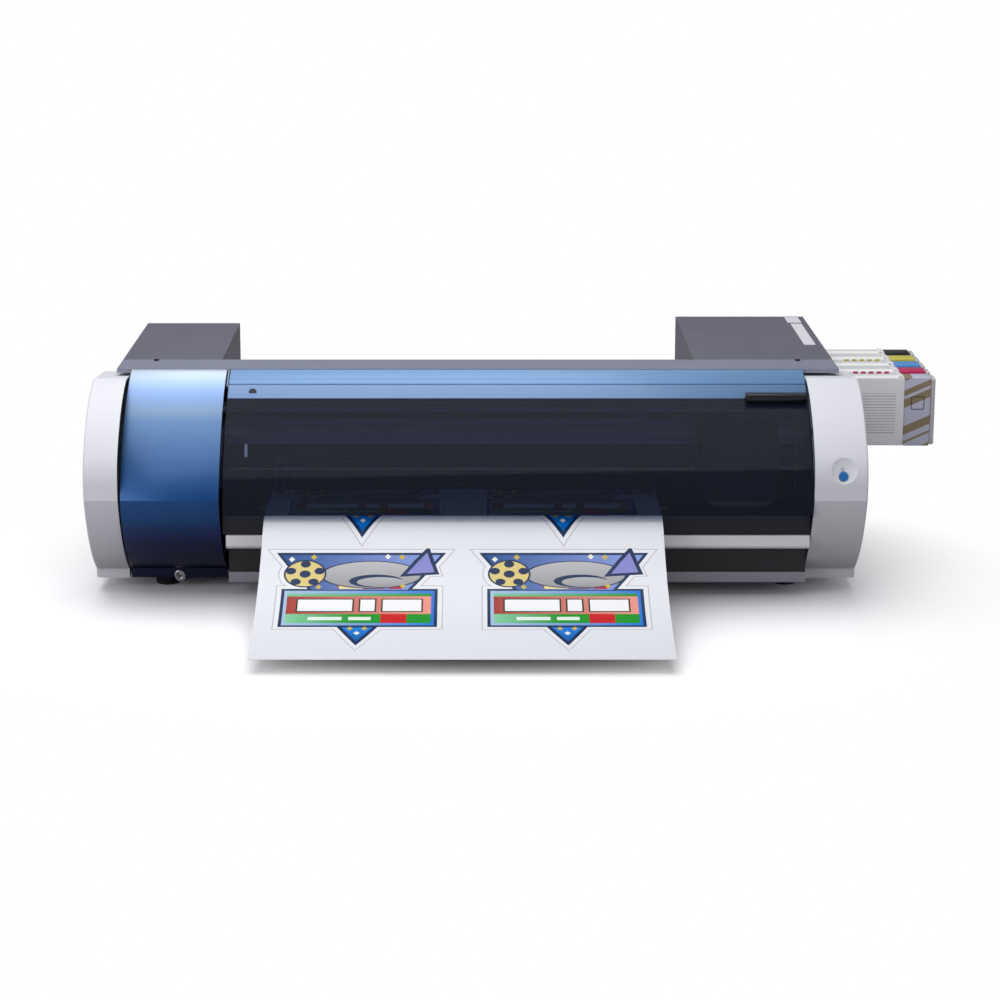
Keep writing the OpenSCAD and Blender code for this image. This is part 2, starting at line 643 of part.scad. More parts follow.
module cartridge_rack() color("#3c3d43") difference() {
  union() {
    block([cart_x0 - 8, cart_y0 - 4, cart_z - 4],
      [box_x1 - 6, cart_y0 + 4 * cart_pitch + cart_t + 4, cart_z + cart_h + 4]);
    rack_posts();
  }
  for (k = [0 : 4]) block([cart_x0 - seat, cart_y0 + k * cart_pitch - 0.4, cart_z - 0.4],
    [box_x1, cart_y0 + k * cart_pitch + cart_t + 0.4, cart_z + cart_h + 0.4]);
}
module rack_posts() for (x = [cart_x0 - 4, box_x1 - 18],
    y = [cart_y0, cart_y0 + 4 * cart_pitch + cart_t - 8])
  block([x, y, pan_top], [x + 8, y + 8, cart_z - 4]);
module cartridge(k) {
  block([cart_x0, cart_y0 + k * cart_pitch, cart_z],
    [cart_x1, cart_y0 + k * cart_pitch + cart_t, cart_z + cart_h]);
  block([cart_x1, cart_y0 + k * cart_pitch + 1.5, cart_z + 1.5],
    [right_x + cart_reach, cart_y0 + k * cart_pitch + cart_t - 1.5, cart_z + cart_h - 1.5]);
}
module cartridge_silver() color("#b9b9c2") cartridge(0);
module cartridge_magenta() color("#d11f63") cartridge(1);
module cartridge_cyan() color("#3d9bd8") cartridge(2);
module cartridge_yellow() color("#e0d54a") cartridge(3);
module cartridge_black() color("#1c1c1e") cartridge(4);
module roll_brackets() color("#4b4d55") for (x = [bracket_x0, bracket_x1]) difference() {
  union() {
    slab(x, x + 3) polygon([[roll_y - 70, pan_top], [roll_y - 22, roll_z + 22], [roll_y + 22, roll_z + 22],
      [body_d, pan_top + 60], [body_d, pan_top + 20],
      [box_back - 4 - seat, pan_top + 12], [box_back - 4 - seat, pan_top]]);
    block([x - 10, roll_y - 70, pan_top], [x + 3, roll_y + 110, pan_top + 2]);
  }
  rod_x(x - 1, x + 4, roll_y, roll_z, roll_r + run);
  block([x - 1, roll_y - roll_r - run, roll_z], [x + 4, roll_y + roll_r + run, roll_z + 30]);
}
module roll_shaft() color("#b4b6bb") {
  rod_x(bracket_x0 - 12, bracket_x1 + 15, roll_y, roll_z, roll_r);
  rod_x(bracket_x0 - 12, bracket_x0 - 9, roll_y, roll_z, roll_r + 4);
}
module roll_flanges() color("#24252a") for (side = [0, 1]) let (x = side ? sheet_x1 + 2 : sheet_x0 - 6)
  difference() {
    union() {
      rod_x(x, x + 4, roll_y, roll_z, 52);
      rod_x(side ? x - 30 : x + 4, side ? x : x + 34, roll_y, roll_z, 25);
    }
    rod_x(x - 40, x + 40, roll_y, roll_z, roll_r);
  }
module rubber_feet() color("#1a1a1c") for (p = [[left_x + 90, foot_y + 26], [right_x0 - 20, foot_y + 26],
  [left_x + 90, left_back - 45], [right_x0 - 20, box_back - 45]]) difference() {
  union() {
    translate([p[0], p[1], 0]) cylinder(r1 = 15, r2 = 17, h = pan_z);
    rod_z(p[0], p[1], pan_z - 2, pan_z, 15);
  }
  rod_z(p[0], p[1], -1, 4, 6);
}
module housing_screws() color("#1c1c1f") {
  for (x = screw_xs) {
    rod_z(x, strip_back - 7, body_h - sheet_t - 4, body_h + 1.2, 2.1);
    rod_z(x, strip_back - 7, body_h, body_h + 1.6, 3.6);
  }
}

// ---- Controls and media ----
module power_button() color("#2d74bd") {
  rod_y(button_x, 2, 16, button_z - 8, button_r);
  rod_y(button_x, 16, 19, button_z - 8, button_r + 2);
}
// Printed sheet, flat on the platen and sagging towards the table in front
module media_sheet() color("#e9e9ee") slab(sheet_x0, sheet_x1) {
  polygon(concat(
    [for (v = sheet_line) v + [0, film_t]],
    [for (i = [len(sheet_line) - 1 : -1 : 0]) sheet_line[i]]));
}

place() base_pan();
place() left_side_frame();
place() right_side_frame();
place() left_side_cover();
place() right_side_cover();
place() top_cover();
place() blue_trim();
place() left_rear_box();
place() right_rear_box();
place() rear_panel();
place() platen();
place() front_apron();
place() lower_front_panel();
place() carriage_beam();
place() guide_rail();
place() cutting_strip();
place() roller_bushes();
place() carriage_motor();
place() carriage_belt();
place() feed_motor();
place() feed_belt();
place() main_board();
place() power_supply();
place() cartridge_rack();
place() power_inlet();
place() roll_brackets();
place() rubber_feet();
place() housing_screws();
place() blue_front_cover();
place() cover_lock();
place() cover_window();
place() cover_band();
place() cover_grip();
place() hinge_pins();
place() print_carriage();
place() print_head();
place() cutting_carriage();
place() blade_holder();
place() grit_roller();
place() feed_pulley();
place() feed_motor_pulley();
place() drive_pulley();
place() idler_pulley();
place() left_pinch_arm();
place() left_pinch_wheel();
place() right_pinch_slider();
place() right_pinch_arm();
place() right_pinch_wheel();
place() loading_lever();
place() cap_station();
place() cartridge_black();
place() cartridge_yellow();
place() cartridge_cyan();
place() cartridge_magenta();
place() cartridge_silver();
place() power_button();
place() main_switch();
place() roll_shaft();
place() roll_flanges();
place() media_sheet();
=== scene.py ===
import math
import bpy
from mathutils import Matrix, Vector


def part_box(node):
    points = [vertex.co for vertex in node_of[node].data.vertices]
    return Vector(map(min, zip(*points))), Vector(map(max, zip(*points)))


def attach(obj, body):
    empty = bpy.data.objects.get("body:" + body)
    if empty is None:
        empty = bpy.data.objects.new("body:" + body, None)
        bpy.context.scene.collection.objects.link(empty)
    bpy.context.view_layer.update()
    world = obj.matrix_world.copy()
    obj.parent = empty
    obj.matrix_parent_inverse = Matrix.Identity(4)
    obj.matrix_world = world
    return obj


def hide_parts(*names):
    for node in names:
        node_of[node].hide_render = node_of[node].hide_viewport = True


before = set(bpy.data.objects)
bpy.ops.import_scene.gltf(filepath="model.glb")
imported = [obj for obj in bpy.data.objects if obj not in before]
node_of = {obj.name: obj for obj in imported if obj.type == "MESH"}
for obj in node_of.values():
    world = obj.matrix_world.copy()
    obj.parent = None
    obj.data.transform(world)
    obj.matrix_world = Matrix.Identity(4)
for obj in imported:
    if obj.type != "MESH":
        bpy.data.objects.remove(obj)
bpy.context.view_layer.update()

# ---- Table top, backdrop and studio ----
# The machine stands on a white table that fades into white, under one long soft box overhead
# and two weak ones in front. Lens and place give a slightly raised view from the front.
bulge_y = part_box("right_side_cover")[0].y
body_mid_x = (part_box("left_side_cover")[0].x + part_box("right_side_cover")[1].x) / 2


def linear(r, g, b, a=1.0):
    """Screen values 0 to 255 as the linear colour that a shader takes."""
    step = lambda c: c / 12.92 if c <= 0.04045 else ((c + 0.055) / 1.055) ** 2.4
    return (step(r / 255), step(g / 255), step(b / 255), a)


def feed(node, inputs):
    """Gives a node's inputs their values, or links where the value is a socket."""
    for key, value in inputs.items():
        if isinstance(value, bpy.types.NodeSocket):
            node.id_data.links.new(value, node.inputs[key])
        else:
            node.inputs[key].default_value = value
    return node


def add(tree, kind, inputs={}, **settings):
    """New shader node of this kind, with its settings and inputs."""
    node = tree.nodes.new("ShaderNode" + kind)
    for key, value in settings.items():
        setattr(node, key, value)
    return feed(node, inputs)


def calc(tree, kind, *values):
    """Result of a Math node over values and sockets."""
    return add(tree, "Math", dict(enumerate(values)), operation=kind).outputs[0]


def lens_sees(tree, gloss=0.0):
    """Socket that is 1 for what the lens sees, straight or through a clear pane, and gloss
    for what a shiny surface mirrors."""
    path = add(tree, "LightPath").outputs
    seen = calc(tree, "MAXIMUM", path["Is Camera Ray"], path["Is Transmission Ray"])
    return calc(tree, "MAXIMUM", seen, calc(tree, "MULTIPLY", path["Is Glossy Ray"], gloss))


def table_white(name, lit, bounce, near, far):
    """Matt white that fades into plain white from near to far, and throws little light back up."""
    mat = bpy.data.materials.new(name)
    mat.use_nodes = True
    tree = mat.node_tree
    tree.nodes.clear()
    tint = add(tree, "MixRGB", {"Fac": lens_sees(tree, gloss=0.3), "Color1": bounce, "Color2": lit})
    matt = add(tree, "BsdfDiffuse", {"Color": tint.outputs["Color"]})
    glow = add(tree, "Emission", {"Color": (1, 1, 1, 1)})
    place = add(tree, "TexCoord").outputs["Object"]
    oval = add(tree, "Mapping", {"Vector": place, "Location": (0.06, 0.05, 0), "Scale": (0.85, 1.15, 1)})
    reach = add(tree, "VectorMath", {0: oval.outputs["Vector"]}, operation="LENGTH")
    fade = add(tree, "MapRange", {"Value": reach.outputs["Value"], "From Min": near, "From Max": far},
        interpolation_type="SMOOTHSTEP")
    weight = calc(tree, "MULTIPLY", lens_sees(tree), fade.outputs["Result"])
    mix = add(tree, "MixShader", {0: weight, 1: matt.outputs[0], 2: glow.outputs[0]})
    add(tree, "OutputMaterial", {"Surface": mix.outputs[0]})
    return mat


def pick_none():
    """Leaves edit mode and deselects everything, so that an operator acts on new pieces only."""
    if bpy.context.object and bpy.context.object.mode == "EDIT":
        bpy.ops.object.mode_set(mode="OBJECT")
    bpy.ops.object.select_all(action="DESELECT")


pick_none()
bpy.ops.mesh.primitive_plane_add(size=1, location=(0, 1.0, -0.0005))
table_top = bpy.context.object
table_top.name = "table_top"
table_top.scale = (16, 12, 1)
bpy.ops.object.transform_apply(location=True, rotation=True, scale=True)
lit_white, bounced_white = (1.16, 1.15, 1.18, 1), (0.3, 0.3, 0.31, 1)
table_top.data.materials.append(table_white("table_white", lit_white, bounced_white, near=0.34, far=0.72))

world = bpy.data.worlds.new("studio")
bpy.context.scene.world = world
world.use_nodes = True
tree = world.node_tree
tree.nodes.clear()
dim = add(tree, "Background", {"Color": (0.92, 0.95, 1.0, 1), "Strength": 0.2})
bright = add(tree, "Background", {"Color": (1, 1, 1, 1), "Strength": 1.0})
mix = add(tree, "MixShader", {0: lens_sees(tree), 1: dim.outputs[0], 2: bright.outputs[0]})
add(tree, "OutputWorld", {"Surface": mix.outputs[0]})


def soft_box(name, place, aim, size, power):
    """Rectangular studio lamp at place, turned towards aim."""
    pick_none()
    bpy.ops.object.light_add(type="AREA", location=place)
    lamp = bpy.context.object
    lamp.name = name
    lamp.data.shape = "RECTANGLE"
    lamp.data.size, lamp.data.size_y = size
    lamp.data.energy = power
    lamp.rotation_mode = "QUATERNION"
    lamp.rotation_quaternion = (Vector(aim) - Vector(place)).to_track_quat("-Z", "Y")
    return lamp


soft_box("overhead_box", (-0.35, -0.1, 2.1), (-0.05, -0.05, 0), (3.4, 2.2), 48)
soft_box("left_box", (-1.6, -1.7, 0.85), (-0.25, 0, 0.1), (1.3, 1.0), 12)
soft_box("right_box", (2.2, -2.3, 1.0), (0.5, 0.1, 0.15), (1.2, 1.0), 10)

pick_none()
lens_height = 0.965
lens_distance = 3.398
bpy.ops.object.camera_add(location=(body_mid_x, bulge_y - lens_distance, lens_height))
camera = bpy.context.object
camera.name = "view_camera"
camera.rotation_euler = (math.radians(90 - 13.53), 0, 0)
camera.data.lens = 97.9
camera.data.sensor_width = 36
camera.data.shift_x = 0.0244
bpy.context.scene.camera = camera
bpy.context.scene.view_settings.view_transform = "Standard"

# ---- Side covers ----
# Two light grey end covers, injection moulded in ABS with a fine spark-eroded texture. They
# snap over the ends of the pan; the right one has a shallow dish for the power button.
crease_z = 0.146
cover_bottom_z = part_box("left_side_cover")[0].z
side_top_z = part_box("left_side_cover")[1].z
side_back_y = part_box("left_side_cover")[1].y
cover_wall = 0.003


def new_skin(name):
    """New material with its node tree, its Principled shader and its Object coordinates."""
    mat = bpy.data.materials.new(name)
    mat.use_nodes = True
    tree = mat.node_tree
    return mat, tree, tree.nodes["Principled BSDF"], add(tree, "TexCoord").outputs["Object"]


def ramp(tree, value, stops):
    """Colour that runs over value through stops = [(place, colour), ...]."""
    node = add(tree, "ValToRGB", {"Fac": value})
    first, last = node.color_ramp.elements
    first.position, first.color = stops[0]
    last.position, last.color = stops[-1]
    for place, colour in stops[1:-1]:
        node.color_ramp.elements.new(place).color = colour
    return node.outputs["Color"]


def toned(colour, factor):
    """The colour made darker or lighter by a factor."""
    return [min(1, c * factor) for c in colour[:3]] + [1]


def moulded(name, colour, rough=0.45, grain=1500, depth=0.05, shade=0.06):
    """Moulded plastic: fine grain in the bump, and a faint cloudy change of shade and gloss."""
    mat, tree, skin, place = new_skin(name)
    fine = add(tree, "TexNoise", {"Vector": place, "Scale": grain, "Detail": 2}).outputs["Fac"]
    cloud = add(tree, "TexNoise", {"Vector": place, "Scale": 9, "Detail": 4}).outputs["Fac"]
    tint = ramp(tree, cloud, [(0.3, toned(colour, 1 - shade)), (0.7, toned(colour, 1 + shade))])
    gloss = add(tree, "MapRange", {"Value": fine, "To Min": rough - 0.05, "To Max": rough + 0.05})
    relief = add(tree, "Bump", {"Height": fine, "Strength": depth * 4, "Distance": 0.0002})
    feed(skin, {"Base Color": tint, "Roughness": gloss.outputs["Result"], "Normal": relief.outputs["Normal"]})
    return mat


def pen_down(name, x, point):
    """Starts a new piece as one vertex at x and point = (y, z), selected in edit mode."""
    pick_none()
    bpy.ops.mesh.primitive_plane_add(size=0.01, location=(0, 0, 0))
    piece = bpy.context.object
    piece.name = name
    bpy.ops.object.mode_set(mode="EDIT")
    bpy.ops.mesh.select_mode(type="VERT")
    bpy.ops.mesh.select_all(action="SELECT")
    bpy.ops.mesh.merge(type="CENTER")
    bpy.ops.transform.translate(value=(x, point[0], point[1]))
    return piece


def arc_centre(start, end, radius):
    """Centre of the arc from start down to end that bulges to the front."""
    mid = Vector(((start[0] + end[0]) / 2, (start[1] + end[1]) / 2))
    chord = Vector((end[0] - start[0], end[1] - start[1]))
    rise = math.sqrt(radius ** 2 - (chord.length / 2) ** 2)
    return mid + Vector((-chord.y, chord.x)).normalized() * rise


def arc_to(start, end, radius, steps=24):
    """Spins the last vertex from start to end."""
    c = arc_centre(start, end, radius)
    turn = math.atan2(end[1] - c.y, end[0] - c.x) - math.atan2(start[1] - c.y, start[0] - c.x)
    turn = (turn + math.pi) % (2 * math.pi) - math.pi
    bpy.ops.mesh.spin(steps=steps, angle=-turn, center=(0, c.x, c.y), axis=(1, 0, 0))


def draw_out(x=0.0, y=0.0, z=0.0):
    """Extrudes what is selected along x, y and z."""
    bpy.ops.mesh.extrude_region_move(TRANSFORM_OT_translate={"value": (x, y, z)})


def line_to(start, end):
    """Extrudes the last vertex from start to end."""
    draw_out(y=end[0] - start[0], z=end[1] - start[1])


def use_modifier(piece, kind, **settings):
    """Adds a modifier with these settings and applies it."""
    bpy.context.view_layer.objects.active = piece
    mod = piece.modifiers.new(kind.lower(), kind)
    for key, value in settings.items():
        setattr(mod, key, value)
    bpy.ops.object.modifier_apply(modifier=mod.name)


def close_up(piece, angle=35):
    """Merges doubles, points the faces out and shades smooth, with the sharp edges kept."""
    pick_none()
    bpy.context.view_layer.objects.active = piece
    piece.select_set(True)
    bpy.ops.object.mode_set(mode="EDIT")
    bpy.ops.mesh.select_all(action="SELECT")
    bpy.ops.mesh.remove_doubles(threshold=0.00001)
    bpy.ops.mesh.normals_make_consistent(inside=False)
    bpy.ops.object.mode_set(mode="OBJECT")
    bpy.ops.object.shade_smooth_by_angle(angle=math.radians(angle))


def select_faces(piece, test):
    """Selects in edit mode the faces whose centre and normal pass the test."""
    bpy.ops.object.mode_set(mode="OBJECT")
    for v in piece.data.vertices:
        v.select = False
    for e in piece.data.edges:
        e.select = False
    for f in piece.data.polygons:
        f.select = test(f.center, f.normal)
    bpy.ops.object.mode_set(mode="EDIT")
    bpy.ops.mesh.select_mode(type="FACE")


def select_edges(piece, test):
    """Selects in edit mode the edges whose two ends pass the test."""
    bpy.ops.object.mode_set(mode="OBJECT")
    for item in list(piece.data.vertices) + list(piece.data.polygons):
        item.select = False
    for e in piece.data.edges:
        a, b = (piece.data.vertices[i].co for i in e.vertices)
        e.select = test(a, b)
    bpy.ops.object.mode_set(mode="EDIT")
    bpy.ops.mesh.select_mode(type="EDGE")


def dress(piece, body, slot, mat, *nodes):
    """Gives a finished piece its material, the body it rides on, and the nodes it stands for."""
    piece.data.materials.clear()
    piece.data.materials.append(mat)
    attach(piece, body)
    if nodes:
        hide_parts(*nodes)


side_grey = moulded("side_cover_grey", linear(229, 229, 236), rough=0.5, depth=0.03, shade=0.012)


def rod(name, radius, depth, centre, tilt=math.pi / 2, vertices=64):
    """Solid cylinder round centre that lies along Y, or is tilted otherwise about X."""
    pick_none()
    bpy.ops.mesh.primitive_cylinder_add(vertices=vertices, radius=radius, depth=depth,
        rotation=(tilt, 0, 0), location=centre)
    piece = bpy.context.object
    piece.name = name
    bpy.ops.object.transform_apply(location=True, rotation=True, scale=True)
    return piece


def cut_out(piece, tool):
    """Cuts the tool out of the piece and removes the tool."""
    use_modifier(piece, "BOOLEAN", object=tool, operation="DIFFERENCE", solver="EXACT")
    bpy.data.objects.remove(tool)


def side_cover(name, inner_x, outer_x, dish=None, bore=None):
    """Cup-shaped end cover: its outline is drawn, filled, drawn out along X and hollowed.

    dish is (half axes, centre, tilt) of the ball and bore (radius, centre) of the cylinder cut out first."""
    top = (bulge_y + 0.1270, side_top_z)
    knee = (bulge_y + 0.0133, 0.2060)
    brow = (bulge_y, 0.1650)
    crease = (bulge_y, crease_z)
    heel = (bulge_y + 0.096, cover_bottom_z + 0.014)
    toe = (heel[0] + 0.004, heel[1])
    back_low = (side_back_y, cover_bottom_z)
    back_high = (side_back_y, side_top_z - 0.010)
    piece = pen_down(name, inner_x, top)
    arc_to(top, knee, 0.190)
    arc_to(knee, brow, 0.0698, steps=12)
    line_to(brow, crease)
    arc_to(crease, heel, 0.220)
    line_to(heel, toe)
    line_to(toe, (toe[0], cover_bottom_z))
    line_to((toe[0], cover_bottom_z), back_low)
    line_to(back_low, back_high)
    line_to(back_high, top)
    bpy.ops.mesh.select_all(action="SELECT")
    bpy.ops.mesh.remove_doubles(threshold=0.00001)
    bpy.ops.mesh.edge_face_add()
    draw_out(x=outer_x - inner_x)
    bpy.ops.mesh.select_all(action="SELECT")
    bpy.ops.mesh.normals_make_consistent(inside=False)
    select_edges(piece, lambda a, b: abs(a.x - outer_x) < 1e-5 and abs(b.x - outer_x) < 1e-5)
    bpy.ops.mesh.bevel(offset=0.0028, segments=8, profile=0.5, affect="EDGES")
    bpy.ops.object.mode_set(mode="OBJECT")
    if dish:
        pick_none()
        bpy.ops.mesh.primitive_uv_sphere_add(segments=128, ring_count=64, radius=1, location=dish[1],
            rotation=(-dish[2], 0, 0), scale=dish[0])
        cut_out(piece, bpy.context.object)
        cut_out(piece, rod("button_bore", bore[0], 0.03, bore[1], vertices=48))
        pick_none()
        bpy.context.view_layer.objects.active = piece
    select_faces(piece, lambda c, n: abs(c.x - inner_x) < 1e-5)
    bpy.ops.mesh.delete(type="FACE")
    bpy.ops.object.mode_set(mode="OBJECT")
    use_modifier(piece, "SOLIDIFY", thickness=cover_wall, offset=-1)
    return piece


left_cover = side_cover("left_end_cover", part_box("left_side_cover")[1].x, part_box("left_side_cover")[0].x)
close_up(left_cover, 15)
dress(left_cover, "chassis", "cover_plastic", side_grey, "left_side_cover")

button_low, button_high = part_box("power_button")
button_x = (button_low.x + button_high.x) / 2
button_z = (button_low.z + button_high.z) / 2
dish_z = 0.185
dish_tilt = math.radians(16.7)
dish_centre = (button_x + 0.001, bulge_y + 0.0029 - 0.0306 * math.cos(dish_tilt),
    dish_z + 0.0306 * math.sin(dish_tilt))
right_cover = side_cover("right_end_cover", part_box("right_side_cover")[0].x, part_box("right_side_cover")[1].x,
    ((0.035, 0.035, 0.0494), dish_centre, dish_tilt), (0.0063, (button_x, bulge_y + 0.004, button_z)))
close_up(right_cover, 15)
dress(right_cover, "chassis", "cover_plastic", side_grey, "right_side_cover")

# ---- Blue front cover ----
# The removable cover over the cutter's park side: a curved ABS shell sprayed with metallic
# blue lacquer, with a turned-in rim. Painted shade and highlight grade its colour from navy at the foot to near
# white at the top. A quarter-turn lock at its lower edge holds it.
panel_top = (bulge_y + 0.1604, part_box("blue_front_cover")[1].z)
panel_crease = (bulge_y, crease_z)
panel_heel = (bulge_y + 0.100, cover_bottom_z + 0.013)
panel_foot = (bulge_y + 0.101, cover_bottom_z + 0.0001)
upper_radius = 0.250
lower_radius = 0.170


def lacquer_painted_shade(name, stops, metal=0.45, rough=0.34):
    """Metallic lacquer with painted shade: stops = [(height, colour), ...] from foot to top, darker low down and
    lighter high up as the light falls, fine flake, clear coat.
    """
    mat, tree, skin, place = new_skin(name)
    foot, top = stops[0][0], stops[-1][0]
    height = add(tree, "SeparateXYZ", {"Vector": place}).outputs["Z"]
    fade = add(tree, "MapRange", {"Value": height, "From Min": foot, "From Max": top})
    tint = ramp(tree, fade.outputs["Result"], [((z - foot) / (top - foot), colour) for z, colour in stops])
    flake = add(tree, "TexVoronoi", {"Vector": place, "Scale": 2600})
    spark = add(tree, "MixRGB", {"Fac": 0.10, "Color1": tint, "Color2": flake.outputs["Color"]},
        blend_type="OVERLAY")
    relief = add(tree, "Bump", {"Height": flake.outputs["Distance"], "Strength": 0.06, "Distance": 0.0001})
    feed(skin, {"Base Color": spark.outputs["Color"], "Normal": relief.outputs["Normal"],
        "Metallic": metal, "Roughness": rough, "Coat Weight": 0.15, "Coat Roughness": 0.12})
    return mat


def curved_panel(name, x0, x1, start, arcs, wall=cover_wall, edge=0.0008):
    """Curved shell: arcs = [(end, radius), ...] from start, drawn out along X and thickened."""
    piece = pen_down(name, x0, start)
    point = start
    for end, radius in arcs:
        arc_to(point, end, radius, steps=32)
        point = end
    bpy.ops.mesh.select_all(action="SELECT")
    draw_out(x=x1 - x0)
    bpy.ops.mesh.select_all(action="SELECT")
    bpy.ops.mesh.remove_doubles(threshold=0.00001)
    bpy.ops.mesh.normals_make_consistent(inside=False)
    bpy.ops.object.mode_set(mode="OBJECT")
    middle = piece.data.polygons[len(piece.data.polygons) // 2]
    if middle.normal.y > 0:
        bpy.ops.object.mode_set(mode="EDIT")
        bpy.ops.mesh.flip_normals()
        bpy.ops.object.mode_set(mode="OBJECT")
    use_modifier(piece, "SOLIDIFY", thickness=wall, offset=-1, use_even_offset=True)
    use_modifier(piece, "BEVEL", width=edge, segments=2, limit_method="ANGLE",
        angle_limit=math.radians(60))
    close_up(piece, 30)
    return piece


blue_low, blue_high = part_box("blue_front_cover")
# Painted shade and highlight: navy at the foot, lighter upward, near white at the top edge.
blue_lacquer = lacquer_painted_shade("blue_cover_lacquer", [
    (0.020, linear(0, 8, 52)),
    (0.080, linear(0, 18, 78)),
    (0.102, linear(2, 43, 104)),
    (0.120, linear(4, 67, 128)),
    (0.146, linear(7, 73, 138)),
    (0.168, linear(28, 83, 142)),
    (0.189, linear(40, 85, 139)),
    (0.210, linear(59, 96, 146)),
    (0.223, linear(69, 106, 150)),
    (0.237, linear(81, 116, 160)),
    (0.247, linear(107, 134, 167)),
    (0.259, linear(114, 145, 189)),
    (0.268, linear(130, 160, 213)),
    (0.276, linear(158, 188, 231)),
    (0.288, linear(224, 238, 254)),
])
blue_cover = curved_panel("blue_cover_shell", blue_low.x, blue_high.x, panel_top,
    [(panel_crease, upper_radius), (panel_heel, lower_radius), (panel_foot, 2.0)])
lock_low, lock_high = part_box("cover_lock")
lock_x = (lock_low.x + lock_high.x) / 2
lock_z = (lock_low.z + lock_high.z) / 2
lock_raise = 0.0040
cut_out(blue_cover, rod("lock_hole", 0.0076, 0.06, (lock_x, lock_low.y, lock_z + lock_raise)))
close_up(blue_cover, 30)
dress(blue_cover, "blue_cover", "blue_paint", blue_lacquer, "blue_front_cover")


def metal(name, colour, rough=0.3, stretch=(1, 40, 40), scale=60, relief_strength=0.08, spread=0.07):
    """Bare metal with a drawn grain: stretch is the grain's scale along X, Y and Z."""
    mat, tree, skin, place = new_skin(name)
    draw = add(tree, "Mapping", {"Vector": place, "Scale": stretch}).outputs["Vector"]
    grain = add(tree, "TexNoise", {"Vector": draw, "Scale": scale, "Detail": 6}).outputs["Fac"]
    tint = ramp(tree, grain, [(0, toned(colour, 0.88)), (1, toned(colour, 1.08))])
    gloss = add(tree, "MapRange", {"Value": grain, "To Min": rough - spread, "To Max": rough + spread})
    relief = add(tree, "Bump", {"Height": grain, "Strength": relief_strength, "Distance": 0.0001})
    feed(skin, {"Base Color": tint, "Roughness": gloss.outputs["Result"], "Normal": relief.outputs["Normal"],
        "Metallic": 1.0})
    return mat


def paint_nodes(mat, *names):
    """Gives carried-over nodes their finish."""
    for name in names:
        mesh = node_of[name].data
        mesh.materials.clear()
        mesh.materials.append(mat)


lock_chrome = metal("lock_chrome", linear(205, 205, 212), rough=0.16, stretch=(20, 20, 20), scale=90)
pick_none()
bpy.ops.mesh.primitive_torus_add(major_segments=48, minor_segments=12, major_radius=0.0055,
    minor_radius=0.0016, rotation=(math.pi / 2, 0, 0),
    location=(lock_x, bulge_y + 0.1005, lock_z + lock_raise))
lock_ring = bpy.context.object
lock_ring.name = "lock_ring"
bpy.ops.object.transform_apply(location=True, rotation=True, scale=True)
close_up(lock_ring)
dress(lock_ring, "blue_cover", "lock_chrome", lock_chrome)
paint_nodes(lock_chrome, "cover_lock")

# ---- Sheet-metal housing ----
# Top cover, two rear boxes and rear panel: 1.5 mm steel folded, punched and powder coated in
# dark grey with a fine orange peel. Black pan-head screws hold the top cover to the boxes.
paint_nodes(moulded("powder_grey", linear(104, 103, 118), rough=0.46, grain=420, depth=0.05, shade=0.05),
    "left_rear_box", "right_rear_box")
# Painted light: the top cover gets a lighter copy of the same dark grey powder coat, as the front of the housing
# catches more light.
paint_nodes(moulded("powder_front_painted_light", linear(132, 136, 154), rough=0.42, grain=420, depth=0.05, shade=0.04),
    "top_cover")
paint_nodes(moulded("powder_dark", linear(52, 52, 60), rough=0.5, grain=420, depth=0.05, shade=0.05),
    "rear_panel", "roll_brackets")
paint_nodes(metal("black_oxide", linear(40, 40, 44), rough=0.4, stretch=(30, 30, 30), scale=60),
    "housing_screws")

# ---- Blue trim strip ----
# Narrow painted strip in front of the top cover, the fixed upper edge of the front opening.
# It is a roll-formed profile in the same metallic blue as the cover beside it, made lighter toward its top by
# painted highlight.
def on_arc(z):
    """Point (y, z) of the upper panel arc at height z."""
    c = arc_centre(panel_top, panel_crease, upper_radius)
    return (c.x - math.sqrt(upper_radius ** 2 - (z - c.y) ** 2), z)


def over_arc(y):
    """Point (y, z) of the upper panel arc at depth y."""
    c = arc_centre(panel_top, panel_crease, upper_radius)
    return (y, c.y + math.sqrt(upper_radius ** 2 - (y - c.x) ** 2))


trim_low, trim_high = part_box("blue_trim")
# Painted highlight: the strip's blue turns lighter towards its top edge.
strip_blue = lacquer_painted_shade("front_strip_lacquer", [(0.262, linear(88, 132, 186)), (0.290, linear(127, 166, 210))],
    metal=0.35, rough=0.4)
trim_foot = over_arc(bulge_y + 0.1368)
trim_strip = curved_panel("blue_trim_strip", trim_low.x, trim_high.x, panel_top,
    [(trim_foot, upper_radius)], wall=0.0026)
dress(trim_strip, "chassis", "blue_paint", strip_blue, "blue_trim")

flange_head = (bulge_y + 0.1425, 0.2805)
flange_foot = (bulge_y + 0.1425, 0.2722)
trim_flange = pen_down("trim_flange", trim_low.x, flange_head)
line_to(flange_head, flange_foot)
bpy.ops.mesh.select_all(action="SELECT")
draw_out(x=trim_high.x - trim_low.x)
bpy.ops.object.mode_set(mode="OBJECT")
use_modifier(trim_flange, "SOLIDIFY", thickness=0.0012, offset=0)
close_up(trim_flange)
dress(trim_flange, "chassis", "blue_paint", strip_blue)

# ---- Front cover ----
# One long smoked polycarbonate moulding, hinged on two pins under the trim. Its upper edge is
# painted blue from outside and carries a black finger grip and a rubber stop button.
window_low, window_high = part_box("cover_window")
band_low, band_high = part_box("cover_band")
lip_top = on_arc(0.2792)
lip_foot = on_arc(0.2748)
band_top = on_arc(0.2742)
band_foot = on_arc(0.2606)
cover_lip = curved_panel("cover_top_lip", band_low.x, band_high.x, lip_top,
    [(lip_foot, upper_radius)], wall=0.0026)
dress(cover_lip, "front_cover", "blue_paint", strip_blue)
